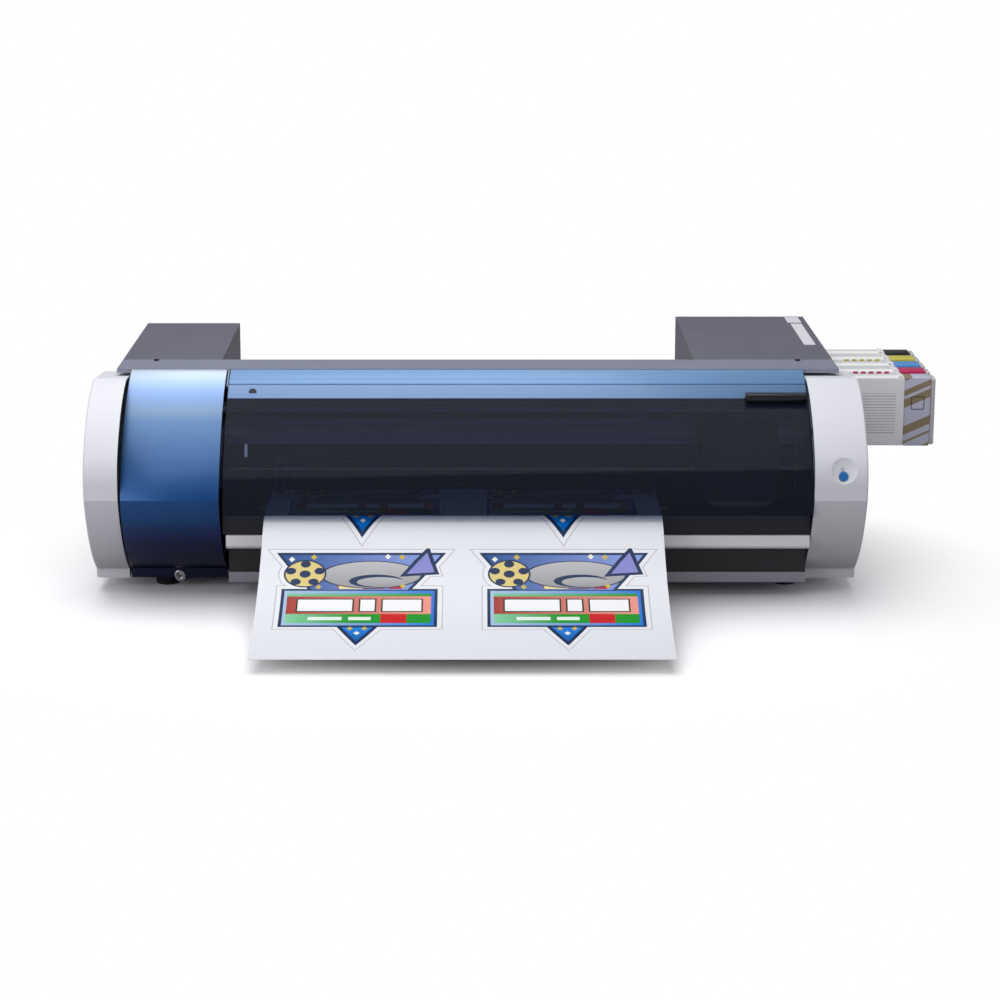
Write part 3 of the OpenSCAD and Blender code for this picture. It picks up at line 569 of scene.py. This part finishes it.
# Painted highlight: the band's blue turns lighter towards its top edge.
band_blue = lacquer_painted_shade("cover_band_lacquer", [(0.258, linear(93, 127, 172)), (0.276, linear(110, 142, 184))],
    metal=0.3, rough=0.4)
cover_band = curved_panel("cover_painted_band", band_low.x, band_high.x, band_top,
    [(band_foot, upper_radius)], wall=0.0026)
dress(cover_band, "front_cover", "blue_paint", band_blue, "cover_band")

smoke, tree, skin, place = new_skin("smoked_polycarbonate")
haze = add(tree, "TexNoise", {"Vector": place, "Scale": 6, "Detail": 3})
gloss = add(tree, "MapRange", {"Value": haze.outputs["Fac"], "To Min": 0.02, "To Max": 0.07})
feed(skin, {"Base Color": linear(92, 100, 122), "Transmission Weight": 0.92, "IOR": 1.12,
    "Roughness": gloss.outputs["Result"], "Coat Weight": 0.04, "Coat Roughness": 0.03})
crease_lip = (bulge_y + 0.0024, window_low.z)
cover_pane = curved_panel("smoked_pane", window_low.x, window_high.x, band_foot,
    [(panel_crease, upper_radius), (crease_lip, 0.12)], wall=0.0028)
dress(cover_pane, "front_cover", "smoked_window", smoke, "cover_window")

grip_low, grip_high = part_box("cover_grip")
grip_black = moulded("grip_black", linear(20, 20, 24), rough=0.3, grain=900, depth=0.02)
rubber_black = moulded("stop_rubber", linear(52, 52, 62), rough=0.6, grain=1200, depth=0.04)


def block(name, low, high):
    """Block from low to high, with its place and size in its mesh."""
    pick_none()
    bpy.ops.mesh.primitive_cube_add(size=1, location=(Vector(low) + Vector(high)) / 2)
    piece = bpy.context.object
    piece.name = name
    piece.scale = Vector(high) - Vector(low)
    bpy.ops.object.transform_apply(location=True, rotation=True, scale=True)
    return piece


grip_lift = Vector((0, 0, 0.0065))
grip = block("finger_grip", grip_low + grip_lift, grip_high + grip_lift)
select_faces(grip, lambda c, n: n.z < -0.9)
bpy.ops.mesh.inset(thickness=0.0016)
draw_out(z=0.006)
bpy.ops.mesh.select_all(action="DESELECT")
select_edges(grip, lambda a, b: min(a.y, b.y) < grip_low.y + 1e-5
    or abs(a.z - b.z) < 1e-5 and a.z > grip_high.z - 1e-5)
bpy.ops.mesh.bevel(offset=0.0026, segments=4, profile=0.5, affect="EDGES")
bpy.ops.object.mode_set(mode="OBJECT")
close_up(grip)
dress(grip, "front_cover", "grip_black", grip_black, "cover_grip")

stop_point = on_arc(0.2665)
stop_centre = (window_low.x + 0.0325, stop_point[0] + 0.0004, stop_point[1] - 0.0001)
stop_button = rod("cover_stop", 0.0052, 0.003, stop_centre, tilt=math.radians(68), vertices=40)
use_modifier(stop_button, "BEVEL", width=0.001, segments=3, limit_method="ANGLE")
close_up(stop_button)
dress(stop_button, "front_cover", "grip_black", rubber_black)

paint_nodes(metal("polished_steel", linear(196, 198, 204), rough=0.24, stretch=(1, 30, 30), scale=50),
    "hinge_pins")

# ---- Blank labels on the housing ----
# Two plain white paper labels, a long one and a shorter one nearer the rear, on top of the right rear box behind
# the right side cover.
# They carry no print.
label_white = moulded("label_paper", linear(226, 226, 234), rough=0.55, grain=2000, depth=0.01, shade=0.02)
right_box_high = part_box("right_rear_box")[1]


def flat_label(name, centre, size, mat):
    """Thin sticker lying on the top of the housing, its corners rounded."""
    pick_none()
    bpy.ops.mesh.primitive_plane_add(size=1, location=centre)
    piece = bpy.context.object
    piece.name = name
    piece.scale = (size[0], size[1], 1)
    bpy.ops.object.transform_apply(location=True, rotation=True, scale=True)
    bpy.ops.object.mode_set(mode="EDIT")
    bpy.ops.mesh.select_all(action="SELECT")
    bpy.ops.mesh.bevel(offset=0.0015, segments=4, affect="VERTICES")
    draw_out(z=0.0002)
    bpy.ops.object.mode_set(mode="OBJECT")
    close_up(piece)
    dress(piece, "chassis", "strip_white", mat)
    return piece


flat_label("long_label", right_box_high - Vector((0.017, 0.148, 0)), (0.016, 0.172), label_white)
flat_label("small_label", right_box_high - Vector((0.018, 0.030, 0)), (0.020, 0.048), label_white)

# ---- Front apron, lower panel and pan ----
# A bright anodised aluminium extrusion guides the sheet out; below it a panel coloured near black as painted
# shade of the recess under the apron stands on the folded zinc-plated pan, with four rubber feet under it.
def tune(mat, settings):
    """Changes inputs of a material's Principled shader."""
    feed(mat.node_tree.nodes["Principled BSDF"], settings)


anodised = metal("bright_anodised", linear(252, 250, 255), rough=0.3, stretch=(1, 60, 60), scale=40,
    relief_strength=0.03, spread=0.04)
tune(anodised, {"Metallic": 0.35, "Coat Weight": 0.4})
zinc = metal("zinc_plate", linear(170, 168, 178), rough=0.42, stretch=(8, 8, 8), scale=12,
    relief_strength=0.03)


def soften_edges(width, *names):
    """Rounds the sharp edges of carried-over nodes."""
    for name in names:
        mod = node_of[name].modifiers.new("edge", "BEVEL")
        mod.width = width
        mod.segments = 2
        mod.limit_method = "ANGLE"
        mod.angle_limit = math.radians(40)


paint_nodes(anodised, "front_apron")
paint_nodes(zinc, "base_pan", "left_side_frame", "right_side_frame")
# Painted shade: the lower front panel is near black for the shade under the apron.
paint_nodes(moulded("recess_painted_shade", linear(34, 34, 40), rough=0.4, grain=600, depth=0.03),
    "lower_front_panel")
paint_nodes(moulded("foot_rubber", linear(24, 24, 26), rough=0.7, grain=900, depth=0.06), "rubber_feet")
soften_edges(0.0004, "front_apron", "lower_front_panel", "top_cover", "left_rear_box", "right_rear_box")
soften_edges(0.0006, "rubber_feet", "rear_panel", "roll_brackets")

# ---- Power button ----
# A round blue translucent push button in the dish of the right side cover. A small printed
# diamond above it marks the indicator.
button_blue = moulded("button_blue", linear(38, 120, 198), rough=0.3, grain=900, depth=0.01)
button = rod("power_button_cap", 0.0058, 0.012, (button_x, button_low.y + 0.0062, button_z))
select_faces(button, lambda c, n: n.y < -0.9)
bpy.ops.mesh.inset(thickness=0.0014)
bpy.ops.transform.translate(value=(0, 0.0003, 0))
bpy.ops.object.mode_set(mode="OBJECT")
use_modifier(button, "BEVEL", width=0.0006, segments=3, limit_method="ANGLE", angle_limit=math.radians(50))
close_up(button)
dress(button, "power_button", "button_blue", button_blue, "power_button")

mark_spot, mark_facing = right_cover.ray_cast((button_x - 0.001, bulge_y - 0.1, button_z + 0.0085),
    (0, 1, 0), depsgraph=bpy.context.evaluated_depsgraph_get())[1:3]
mark_grey = moulded("mark_grey", linear(84, 84, 94), rough=0.5, depth=0.01)
pick_none()
bpy.ops.mesh.primitive_torus_add(major_segments=4, minor_segments=8, major_radius=0.0024,
    minor_radius=0.0004, rotation=mark_facing.to_track_quat("Z", "Y").to_euler(), location=mark_spot)
diamond = bpy.context.object
diamond.name = "indicator_mark"
bpy.ops.object.transform_apply(location=True, rotation=True, scale=True)
close_up(diamond, 60)
dress(diamond, "chassis", "grip_black", mark_grey)

# ---- Ink cartridges ----
# Five slim white blow-moulded cartridges stand side by side on the right. Each ends in a
# coloured label wrapped round the body and a milky cap; the front one's label is striped.
def print_over(mat, mask, ink):
    """Covers a material's base colour with ink, a colour or a socket, where mask is 1."""
    skin = mat.node_tree.nodes["Principled BSDF"]
    base = skin.inputs["Base Color"].links[0].from_socket
    mix = add(mat.node_tree, "MixRGB", {"Fac": mask, "Color1": base, "Color2": ink})
    feed(skin, {"Base Color": mix.outputs["Color"]})


def printed_body(name, front_y, top_z, x0, x1, dash=None, rules=False):
    """White body plastic with a printed row of dashes or of plain rules on its front face."""
    mat = moulded(name, linear(250, 249, 251), rough=0.35, grain=700, depth=0.02, shade=0.015)
    tree = mat.node_tree
    x, y, z = add(tree, "SeparateXYZ", {"Vector": add(tree, "TexCoord").outputs["Object"]}).outputs

    def every(value, pitch, share):
        return calc(tree, "LESS_THAN", calc(tree, "FRACT", calc(tree, "DIVIDE", value, pitch)), share)

    def inside(rows, low, high, depth):
        across = calc(tree, "MULTIPLY", calc(tree, "GREATER_THAN", x, x0), calc(tree, "LESS_THAN", x, x1))
        up = calc(tree, "MULTIPLY", calc(tree, "GREATER_THAN", z, low), calc(tree, "LESS_THAN", z, high))
        front = calc(tree, "LESS_THAN", y, front_y + depth)
        return calc(tree, "MULTIPLY", calc(tree, "MULTIPLY", rows, across), calc(tree, "MULTIPLY", up, front))

    if dash:
        run = every(calc(tree, "SUBTRACT", x, x0), 0.0110, 0.6)
        print_over(mat, inside(run, top_z - 0.0045, top_z - 0.0001, 0.004), dash)
    if rules:
        lines = every(z, 0.0040, 0.35)
        print_over(mat, inside(lines, top_z - 0.080, top_z - 0.022, 0.0012), linear(196, 194, 202))
    return mat


def striped(name, dark, light):
    """Printed label with diagonal stripes of uneven width."""
    mat = moulded(name, light, rough=0.35, grain=900, depth=0.01)
    tree = mat.node_tree
    place = add(tree, "TexCoord").outputs["Object"]
    turn = add(tree, "Mapping", {"Vector": place, "Rotation": (0, math.radians(24), 0)}).outputs["Vector"]
    wide, fine = (add(tree, "TexWave", {"Vector": turn, "Scale": scale}, bands_direction="Z").outputs["Fac"]
        for scale in (8, 19))
    print_over(mat, calc(tree, "GREATER_THAN", calc(tree, "ADD", wide, fine), 1.05), dark)
    return mat


def rounded_block(name, low, high, radius, segments=3):
    """Block from low to high with all its edges rounded."""
    piece = block(name, low, high)
    use_modifier(piece, "BEVEL", width=radius, segments=segments, limit_method="ANGLE")
    return piece


milky = moulded("milky_cap", linear(240, 240, 244), rough=0.2, grain=500, depth=0.01, shade=0.01)
tune(milky, {"Transmission Weight": 0.35})
cartridge_ink = {
    "black": moulded("label_black", linear(26, 26, 30), rough=0.3, grain=900, depth=0.01),
    "yellow": moulded("label_yellow", linear(214, 206, 84), rough=0.3, grain=900, depth=0.01),
    "cyan": moulded("label_cyan", linear(88, 158, 226), rough=0.3, grain=900, depth=0.01),
    "magenta": moulded("label_magenta", linear(204, 30, 96), rough=0.3, grain=900, depth=0.01),
    "silver": striped("label_striped", linear(150, 132, 104), linear(206, 206, 226)),
}


def cartridge(colour):
    """Body, wrapped label and cap of one cartridge, made to its node's box."""
    low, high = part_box("cartridge_" + colour)
    label_end = high.x - 0.007
    label_start = label_end - 0.036
    skirt = 0.0004
    dashes = {"yellow": linear(206, 190, 60), "magenta": linear(190, 24, 84)}
    paper = printed_body("body_" + colour, low.y + skirt, high.z - skirt, label_start - 0.066,
        label_start - 0.012, dash=dashes.get(colour), rules=colour == "silver")
    body = rounded_block("body_" + colour, (low.x, low.y + skirt, low.z + skirt),
        (label_start, high.y - skirt, high.z - skirt), 0.0016)
    select_faces(body, lambda c, n: n.z > 0.9)
    bpy.ops.mesh.inset(thickness=0.0085)
    draw_out(z=-0.0018)
    bpy.ops.object.mode_set(mode="OBJECT")
    close_up(body)
    dress(body, "cartridge_" + colour, "cartridge_white", paper, "cartridge_" + colour)
    label = rounded_block("label_" + colour, (label_start, low.y, low.z), (label_end, high.y, high.z), 0.0014)
    close_up(label)
    dress(label, "cartridge_" + colour, "cartridge_white", cartridge_ink[colour])
    cap = rounded_block("cap_" + colour, (label_end, low.y + 0.001, low.z + 0.001),
        (high.x, high.y - 0.001, high.z - 0.001), 0.0034, segments=5)
    close_up(cap)
    dress(cap, "cartridge_" + colour, "cartridge_white", milky)


for colour in ("silver", "magenta", "cyan", "yellow", "black"):
    cartridge(colour)

front_low, front_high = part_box("cartridge_silver")
pick_none()
bpy.ops.mesh.primitive_plane_add(size=0.0185, rotation=(math.pi / 2, 0, 0),
    location=(front_high.x - 0.0245, front_low.y - 0.0001, front_high.z - 0.036))
frame_mark = bpy.context.object
frame_mark.name = "label_square"
bpy.ops.object.transform_apply(location=True, rotation=True, scale=True)
bpy.ops.object.mode_set(mode="EDIT")
bpy.ops.mesh.select_all(action="SELECT")
bpy.ops.mesh.bevel(offset=0.0015, segments=3, affect="VERTICES")
bpy.ops.mesh.inset(thickness=0.0011)
bpy.ops.mesh.delete(type="FACE")
bpy.ops.mesh.select_all(action="SELECT")
draw_out(y=0.0002)
bpy.ops.object.mode_set(mode="OBJECT")
close_up(frame_mark)
dress(frame_mark, "cartridge_silver", "cartridge_white", cartridge_ink["black"])

# ---- Vinyl sheet ----
# Glossy white self-adhesive vinyl, 515 mm wide, printed with two columns of plain sports-club
# crests without any words. It leaves the rollers flat, runs over the apron and droops to the table.
sheet_low, sheet_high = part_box("media_sheet")
film_z = sheet_high.z - 0.0004
film_t = 0.0004


def sag(start, pull, end, count):
    """Points of a quadratic curve from start, pulled towards pull, to end."""
    return [tuple((1 - u) ** 2 * a + 2 * u * (1 - u) * p + u ** 2 * b for a, p, b in zip(start, pull, end))
        for u in (k / count for k in range(1, count + 1))]


rear = (sheet_high.y, film_z)
over_lip = (bulge_y + 0.026, film_z)
below_lip = (bulge_y - 0.032, film_z - 0.027)
front_end = (sheet_low.y + 0.0001, 0.018)
path = [rear, (bulge_y + 0.100, film_z), over_lip]
path += sag(over_lip, (bulge_y + 0.004, film_z), below_lip, 10)
path += sag(below_lip, (bulge_y - 0.130, film_z - 0.088), front_end, 24)
sheet_width = sheet_high.x - sheet_low.x
vinyl_sheet = pen_down("vinyl_sheet", sheet_low.x, path[0])
for point, following in zip(path, path[1:]):
    line_to(point, following)
bpy.ops.mesh.select_all(action="SELECT")
for strip in range(10):
    if strip:
        edge_x = sheet_low.x + sheet_width * strip / 10
        select_edges(vinyl_sheet, lambda a, b: abs(a.x - edge_x) < 1e-6 and abs(b.x - edge_x) < 1e-6)
    draw_out(x=sheet_width / 10)
bpy.ops.mesh.select_all(action="SELECT")
bpy.ops.mesh.normals_make_consistent(inside=False)
bpy.ops.object.mode_set(mode="OBJECT")
if vinyl_sheet.data.polygons[0].normal.z < 0:
    bpy.ops.object.mode_set(mode="EDIT")
    bpy.ops.mesh.flip_normals()
    bpy.ops.object.mode_set(mode="OBJECT")
use_modifier(vinyl_sheet, "SOLIDIFY", thickness=film_t, offset=1, use_even_offset=True)
close_up(vinyl_sheet, 40)

sheet_length = sum((Vector(b) - Vector(a)).length for a, b in zip(path, path[1:]))
reached = [0.0]
for a, b in zip(path, path[1:]):
    reached.append(reached[-1] + (Vector(b) - Vector(a)).length)


def from_front(y):
    """Distance along the sheet from its front edge to the point at depth y."""
    for k, (a, b) in enumerate(zip(path, path[1:])):
        if b[0] <= y <= a[0] or k == len(path) - 2:
            part = min(max((a[0] - y) / (a[0] - b[0]), 0), 1)
            return sheet_length - (reached[k] + part * (reached[k + 1] - reached[k]))


flat_map = vinyl_sheet.data.uv_layers.new(name="flat")
for corner in vinyl_sheet.data.loops:
    at = vinyl_sheet.data.vertices[corner.vertex_index].co
    flat_map.data[corner.index].uv = (at.x - sheet_low.x, from_front(at.y))


class Print:
    """Inks laid one over the other on a sheet, each where its distance field, in mm, is positive."""

    def __init__(self, mat, uv_name):
        self.mat = mat
        self.tree = mat.node_tree
        source = add(self.tree, "UVMap", uv_map=uv_name).outputs["UV"]
        parts = add(self.tree, "SeparateXYZ", {"Vector": source}).outputs
        self.u, self.v = self.op("MULTIPLY", parts["X"], 1000), self.op("MULTIPLY", parts["Y"], 1000)

    def op(self, kind, *values):
        return calc(self.tree, kind, *values)

    def repeat(self, value, pitch, shift):
        """value folded into one cell of the pattern, measured from the cell's middle."""
        folded = self.op("FLOORED_MODULO", self.op("ADD", value, pitch / 2 - shift), pitch)
        return self.op("SUBTRACT", folded, pitch / 2)

    def convex(self, *corners):
        """Distance inside a convex outline whose corners run anticlockwise."""
        field = None
        for (au, av), (bu, bv) in zip(corners, corners[1:] + corners[:1]):
            length = math.hypot(bu - au, bv - av)
            nu, nv = -(bv - av) / length, (bu - au) / length
            side = self.op("MULTIPLY_ADD", self.u, nu, -(nu * au + nv * av))
            side = self.op("MULTIPLY_ADD", self.v, nv, side)
            field = side if field is None else self.op("MINIMUM", field, side)
        return field

    def bar(self, left, low, right, high):
        """Distance inside an upright rectangle."""
        return self.convex((left, low), (right, low), (right, high), (left, high))

    def disc(self, cu, cv, radius, flat=1.0):
        """Distance inside a circle, or inside an ellipse that is flat times lower than wide."""
        du = self.op("SUBTRACT", self.u, cu)
        dv = self.op("MULTIPLY", self.op("SUBTRACT", self.v, cv), flat)
        away = self.op("SQRT", self.op("ADD", self.op("MULTIPLY", du, du), self.op("MULTIPLY", dv, dv)))
        return self.op("SUBTRACT", radius, away)

    def lay(self, colour, field, inset=0.0):
        """Covers what lies below with a colour, or a colour socket, where field is above inset."""
        print_over(self.mat, self.op("GREATER_THAN", field, inset), colour)

    def shade(self, value, low, high, first, last):
        """Colour that runs from first at low to last at high."""
        span = add(self.tree, "MapRange", {"Value": value, "From Min": low, "From Max": high})
        return ramp(self.tree, span.outputs["Result"], [(0, first), (1, last)])


vinyl = moulded("printed_vinyl", linear(233, 234, 240), rough=0.32, grain=2600, depth=0.002, shade=0.006)
tune(vinyl, {"Coat Weight": 0.05, "Specular IOR Level": 0.15, "Coat Roughness": 0.08})
crest = Print(vinyl, "flat")
crest.u = crest.repeat(crest.u, 258, 128)
crest.v = crest.op("SUBTRACT", crest.repeat(crest.op("MAXIMUM", crest.v, 25), 234, 141), 5)
navy = linear(4, 40, 84)
pennant = crest.convex((-62, 28), (62, 28), (108, 104), (-108, 104))
board = crest.bar(-98, -54, 98, 34)
tip = crest.convex((0, -104), (27, -50), (-27, -50))
ball = crest.disc(-70, 64, 27)
wing = crest.disc(14, 62, 62, 2.4)
tail_fin = crest.convex((52, 62), (96, 66), (84, 112), (70, 88))
outline = pennant
for part in (board, tip, ball, tail_fin):
    outline = crest.op("MAXIMUM", outline, part)
# Painted shade: the light grey line 5.6 to 7 mm outside the crest marks the kiss cut round it and stands for the
# shadow in that cut; a white margin lies inside it.
crest.lay(linear(196, 190, 204), outline, -7.0)
crest.lay(linear(236, 237, 243), outline, -5.6)
crest.lay(navy, outline)
crest.lay(crest.shade(crest.u, -100, 100, linear(10, 74, 142), linear(140, 160, 226)), pennant, 4)
crest.lay(crest.shade(crest.u, -96, 96, linear(168, 196, 224), linear(0, 116, 216)), board, 4)
crest.lay(crest.shade(crest.v, -100, -54, linear(0, 74, 156), linear(0, 130, 226)), tip, 5)
red_block = crest.convex((-30, 30), (36, 30), (20, 84), (-44, 84))
crest.lay(linear(170, 52, 34), crest.op("MINIMUM", red_block, pennant), 4)
crest.lay(linear(236, 218, 150), crest.convex((-26, 34), (4, 34), (2, 62), (-28, 62)))
crest.lay(linear(180, 16, 30), crest.convex((36, 34), (52, 34), (58, 46), (40, 46)))
crest.lay(navy, wing, -3.5)
crest.lay(crest.shade(crest.v, 38, 88, linear(150, 150, 152), linear(190, 190, 194)), wing)
crest.lay(navy, crest.disc(20, 50, 34, 2.6))
belly = crest.shade(crest.v, 38, 62, linear(150, 150, 152), linear(186, 186, 190))
crest.lay(belly, crest.disc(26, 48, 30, 3.0))
crest.lay(navy, tail_fin, -3)
crest.lay(linear(136, 138, 206), tail_fin, 2)
crest.lay(navy, ball)
crest.lay(linear(222, 202, 128), ball, 2.4)
for turn in range(5):
    angle = math.radians(90 + 72 * turn)
    patch = crest.disc(-70 + 19 * math.cos(angle), 64 + 19 * math.sin(angle), 6.4)
    crest.lay(navy, crest.op("MINIMUM", patch, ball))
crest.lay(navy, crest.disc(-70, 64, 7))
green_line = crest.shade(crest.u, -90, 90, linear(120, 196, 150), linear(0, 146, 22))
red_field = crest.shade(crest.u, -90, 90, linear(164, 50, 34), linear(240, 150, 136))
green_field = crest.shade(crest.u, -90, -10, linear(132, 206, 160), linear(0, 150, 24))
crest.lay(green_line, crest.bar(-90, 18, 90, 24))
crest.lay(red_field, crest.bar(-90, -22, 90, 18))
crest.lay(green_field, crest.bar(-90, -44, 90, -22))
crest.lay(linear(206, 0, 10), crest.bar(28, -44, 60, -22))
for start, end in ((-76, -8), (2, 20), (30, 78)):
    word = crest.bar(start, -15, end, 11)
    crest.lay(linear(10, 10, 12), word, -2)
    crest.lay(linear(246, 246, 248), word)
for start, end in ((-62, -20), (-12, 16)):
    crest.lay(linear(230, 244, 232), crest.bar(start, -37, end, -29))
white_spots = [(-88, 92), (34, 97), (0, -70)]
gold_spots = [(-60, 96), (52, 96), (-52, 38), (54, 40), (-9, -58), (9, -58)]
for cu, cv in white_spots + gold_spots:
    spot = crest.convex((cu, cv - 5), (cu + 4, cv), (cu, cv + 5), (cu - 4, cv))
    crest.lay(linear(240, 238, 226) if (cu, cv) in white_spots else linear(206, 178, 60), spot)
dress(vinyl_sheet, "media_sheet", "vinyl_film", vinyl, "media_sheet")

# ---- Platen and rollers ----
# A black anodised platen with rows of fine vacuum holes, painted as near-black dots of shade, and a
# white cutting strip let in along the blade's path. Ground steel roller with knurled grit bands, in brass
# bushes.
def painted_hole_shade(name, colour, pitch, radius):
    """Anodised sheet with a square grid of punched holes, seen from above; the holes are painted shade,
    near-black dots on the upward faces, and are not cut.
    """
    mat = metal(name, colour, rough=0.45, stretch=(2, 30, 30), scale=40, relief_strength=0.03)
    tree = mat.node_tree

    def vector(kind, *values):
        return add(tree, "VectorMath", dict(enumerate(values)), operation=kind).outputs[0]

    place = add(tree, "TexCoord").outputs["Object"]
    cell = vector("MODULO", vector("ADD", (2, 2, 0), place), (pitch, pitch, 1))
    flat = vector("MULTIPLY", vector("SUBTRACT", cell, (pitch / 2, pitch / 2, 0)), (1, 1, 0))
    away = add(tree, "VectorMath", {0: flat}, operation="LENGTH").outputs["Value"]
    facing = add(tree, "NewGeometry").outputs["True Normal"]
    upward = calc(tree, "GREATER_THAN", add(tree, "SeparateXYZ", {"Vector": facing}).outputs["Z"], 0.7)
    # Painted shade: near-black dots stand for the holes.
    print_over(mat, calc(tree, "MULTIPLY", calc(tree, "LESS_THAN", away, radius), upward),
        (0.002, 0.002, 0.002, 1))
    return mat


platen_black = painted_hole_shade("platen_black", linear(58, 60, 66), 0.012, 0.0012)
paint_nodes(platen_black, "platen")
paint_nodes(moulded("strip_white", linear(206, 206, 200), rough=0.6, grain=1100, depth=0.05), "cutting_strip")
paint_nodes(metal("roller_steel", linear(150, 150, 156), rough=0.32, stretch=(60, 4, 4), scale=40,
    relief_strength=0.3),
    "grit_roller")
paint_nodes(metal("bush_brass", linear(176, 142, 76), rough=0.3, stretch=(6, 6, 6), scale=40),
    "roller_bushes")
paint_nodes(moulded("wheel_rubber", linear(22, 22, 24), rough=0.75, grain=1500, depth=0.08),
    "left_pinch_wheel", "right_pinch_wheel")
paint_nodes(metal("arm_steel", linear(150, 152, 158), rough=0.35, stretch=(3, 20, 20), scale=60),
    "left_pinch_arm", "right_pinch_arm")
paint_nodes(moulded("slider_black", linear(40, 42, 48), rough=0.5), "right_pinch_slider", "loading_lever")
paint_nodes(moulded("pulley_black", linear(34, 34, 38), rough=0.45), "feed_pulley")
paint_nodes(metal("pulley_brass", linear(184, 160, 92), rough=0.28, stretch=(20, 20, 20), scale=60),
    "feed_motor_pulley", "drive_pulley", "idler_pulley")
paint_nodes(moulded("belt_rubber", linear(16, 16, 17), rough=0.7, grain=1800, depth=0.1),
    "feed_belt", "carriage_belt")
paint_nodes(metal("motor_black", linear(48, 49, 54), rough=0.45, stretch=(4, 4, 30), scale=40),
    "feed_motor", "carriage_motor")
soften_edges(0.0005, "platen", "left_pinch_arm", "right_pinch_arm", "right_pinch_slider", "loading_lever",
    "feed_pulley", "feed_motor_pulley", "drive_pulley", "idler_pulley", "left_pinch_wheel",
    "right_pinch_wheel",
    "feed_motor", "carriage_motor")

# ---- Carriage way ----
# Extruded aluminium beam with a ground guide rail and the carriages' toothed belt. A clear
# encoder strip is stretched below it, and a near-black rubber flap in the sheet slot behind is a dark sheet put
# there as painted shade.
beam_grey = metal("beam_grey", linear(188, 196, 224), rough=0.45, stretch=(1, 50, 50), scale=40,
    relief_strength=0.04)
tune(beam_grey, {"Metallic": 0.2})
paint_nodes(beam_grey, "carriage_beam")
paint_nodes(metal("rail_steel", linear(190, 192, 198), rough=0.2, stretch=(1, 60, 60), scale=60,
    relief_strength=0.03),
    "guide_rail")
soften_edges(0.0006, "carriage_beam")
soften_edges(0.0004, "guide_rail")

encoder_low = Vector((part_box("left_side_frame")[1].x + 0.0004, bulge_y + 0.1262, 0.1582))
encoder_high = Vector((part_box("right_side_frame")[0].x - 0.0004, bulge_y + 0.1268, 0.1612))
encoder_film = metal("encoder_film", linear(190, 192, 206), rough=0.25, stretch=(400, 2, 2), scale=8)
encoder = rounded_block("encoder_strip", encoder_low, encoder_high, 0.0001, segments=1)
close_up(encoder)
dress(encoder, "chassis", "rail_steel", encoder_film)

panel_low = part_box("rear_panel")[0]
# Painted shade: a near-black sheet fills the rear slot so that it reads dark.
flap_rubber_painted_shade = moulded("flap_rubber_painted_shade", linear(14, 14, 16), rough=0.7, grain=500, depth=0.08)
flap_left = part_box("media_sheet")[0].x - 0.016
flap_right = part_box("media_sheet")[1].x + 0.016
flap = pen_down("slot_flap", flap_left, (panel_low.y - 0.0006, 0.1450))
line_to((panel_low.y - 0.0006, 0.1450), (panel_low.y - 0.0008, 0.1400))
line_to((panel_low.y - 0.0008, 0.1400), (panel_low.y - 0.0085, 0.1130))
bpy.ops.mesh.select_all(action="SELECT")
draw_out(x=flap_right - flap_left)
bpy.ops.object.mode_set(mode="OBJECT")
use_modifier(flap, "SOLIDIFY", thickness=0.0008, offset=0)
close_up(flap)
dress(flap, "chassis", "foot_rubber", flap_rubber_painted_shade)

# ---- Carriages ----
# Moulded black print carriage over the gold-plated head, and the grey cutting carriage with
# its knurled brass blade holder. The cap station parks below the print carriage.
paint_nodes(moulded("carriage_black", linear(30, 31, 36), rough=0.42, grain=1300, depth=0.06),
    "print_carriage")
paint_nodes(moulded("carriage_grey", linear(56, 58, 66), rough=0.45, grain=1300, depth=0.06),
    "cutting_carriage")
paint_nodes(metal("head_plate", linear(150, 138, 104), rough=0.3, stretch=(20, 20, 20), scale=40),
    "print_head")
paint_nodes(metal("holder_brass", linear(200, 176, 92), rough=0.25, stretch=(40, 40, 3), scale=90,
    relief_strength=0.25),
    "blade_holder")
paint_nodes(moulded("cap_grey", linear(60, 61, 66), rough=0.55), "cap_station")
soften_edges(0.0016, "print_carriage", "cutting_carriage")
soften_edges(0.0005, "print_head", "cap_station", "blade_holder")

# ---- Electronics and rear ----
# Green main board and a zinc-plated supply behind the left side cover, the inlet with its
# rocker switch on the rear, the cartridge rack, and the media roll on its two arms.
paint_nodes(moulded("board_green", linear(34, 92, 54), rough=0.35, grain=260, depth=0.1, shade=0.2),
    "main_board")
paint_nodes(metal("psu_steel", linear(150, 152, 156), rough=0.38, stretch=(4, 4, 4), scale=16),
    "power_supply")
paint_nodes(moulded("rack_black", linear(36, 37, 42), rough=0.5), "cartridge_rack")
paint_nodes(moulded("inlet_black", linear(20, 20, 22), rough=0.35), "power_inlet")
paint_nodes(moulded("switch_red", linear(178, 44, 36), rough=0.3, grain=900, depth=0.01), "main_switch")
paint_nodes(metal("shaft_steel", linear(176, 178, 184), rough=0.25, stretch=(1, 30, 30), scale=60),
    "roll_shaft")
paint_nodes(moulded("flange_black", linear(32, 33, 38), rough=0.4), "roll_flanges")
soften_edges(0.0004, "power_supply", "cartridge_rack", "power_inlet", "main_switch",
    "roll_flanges", "roll_shaft")
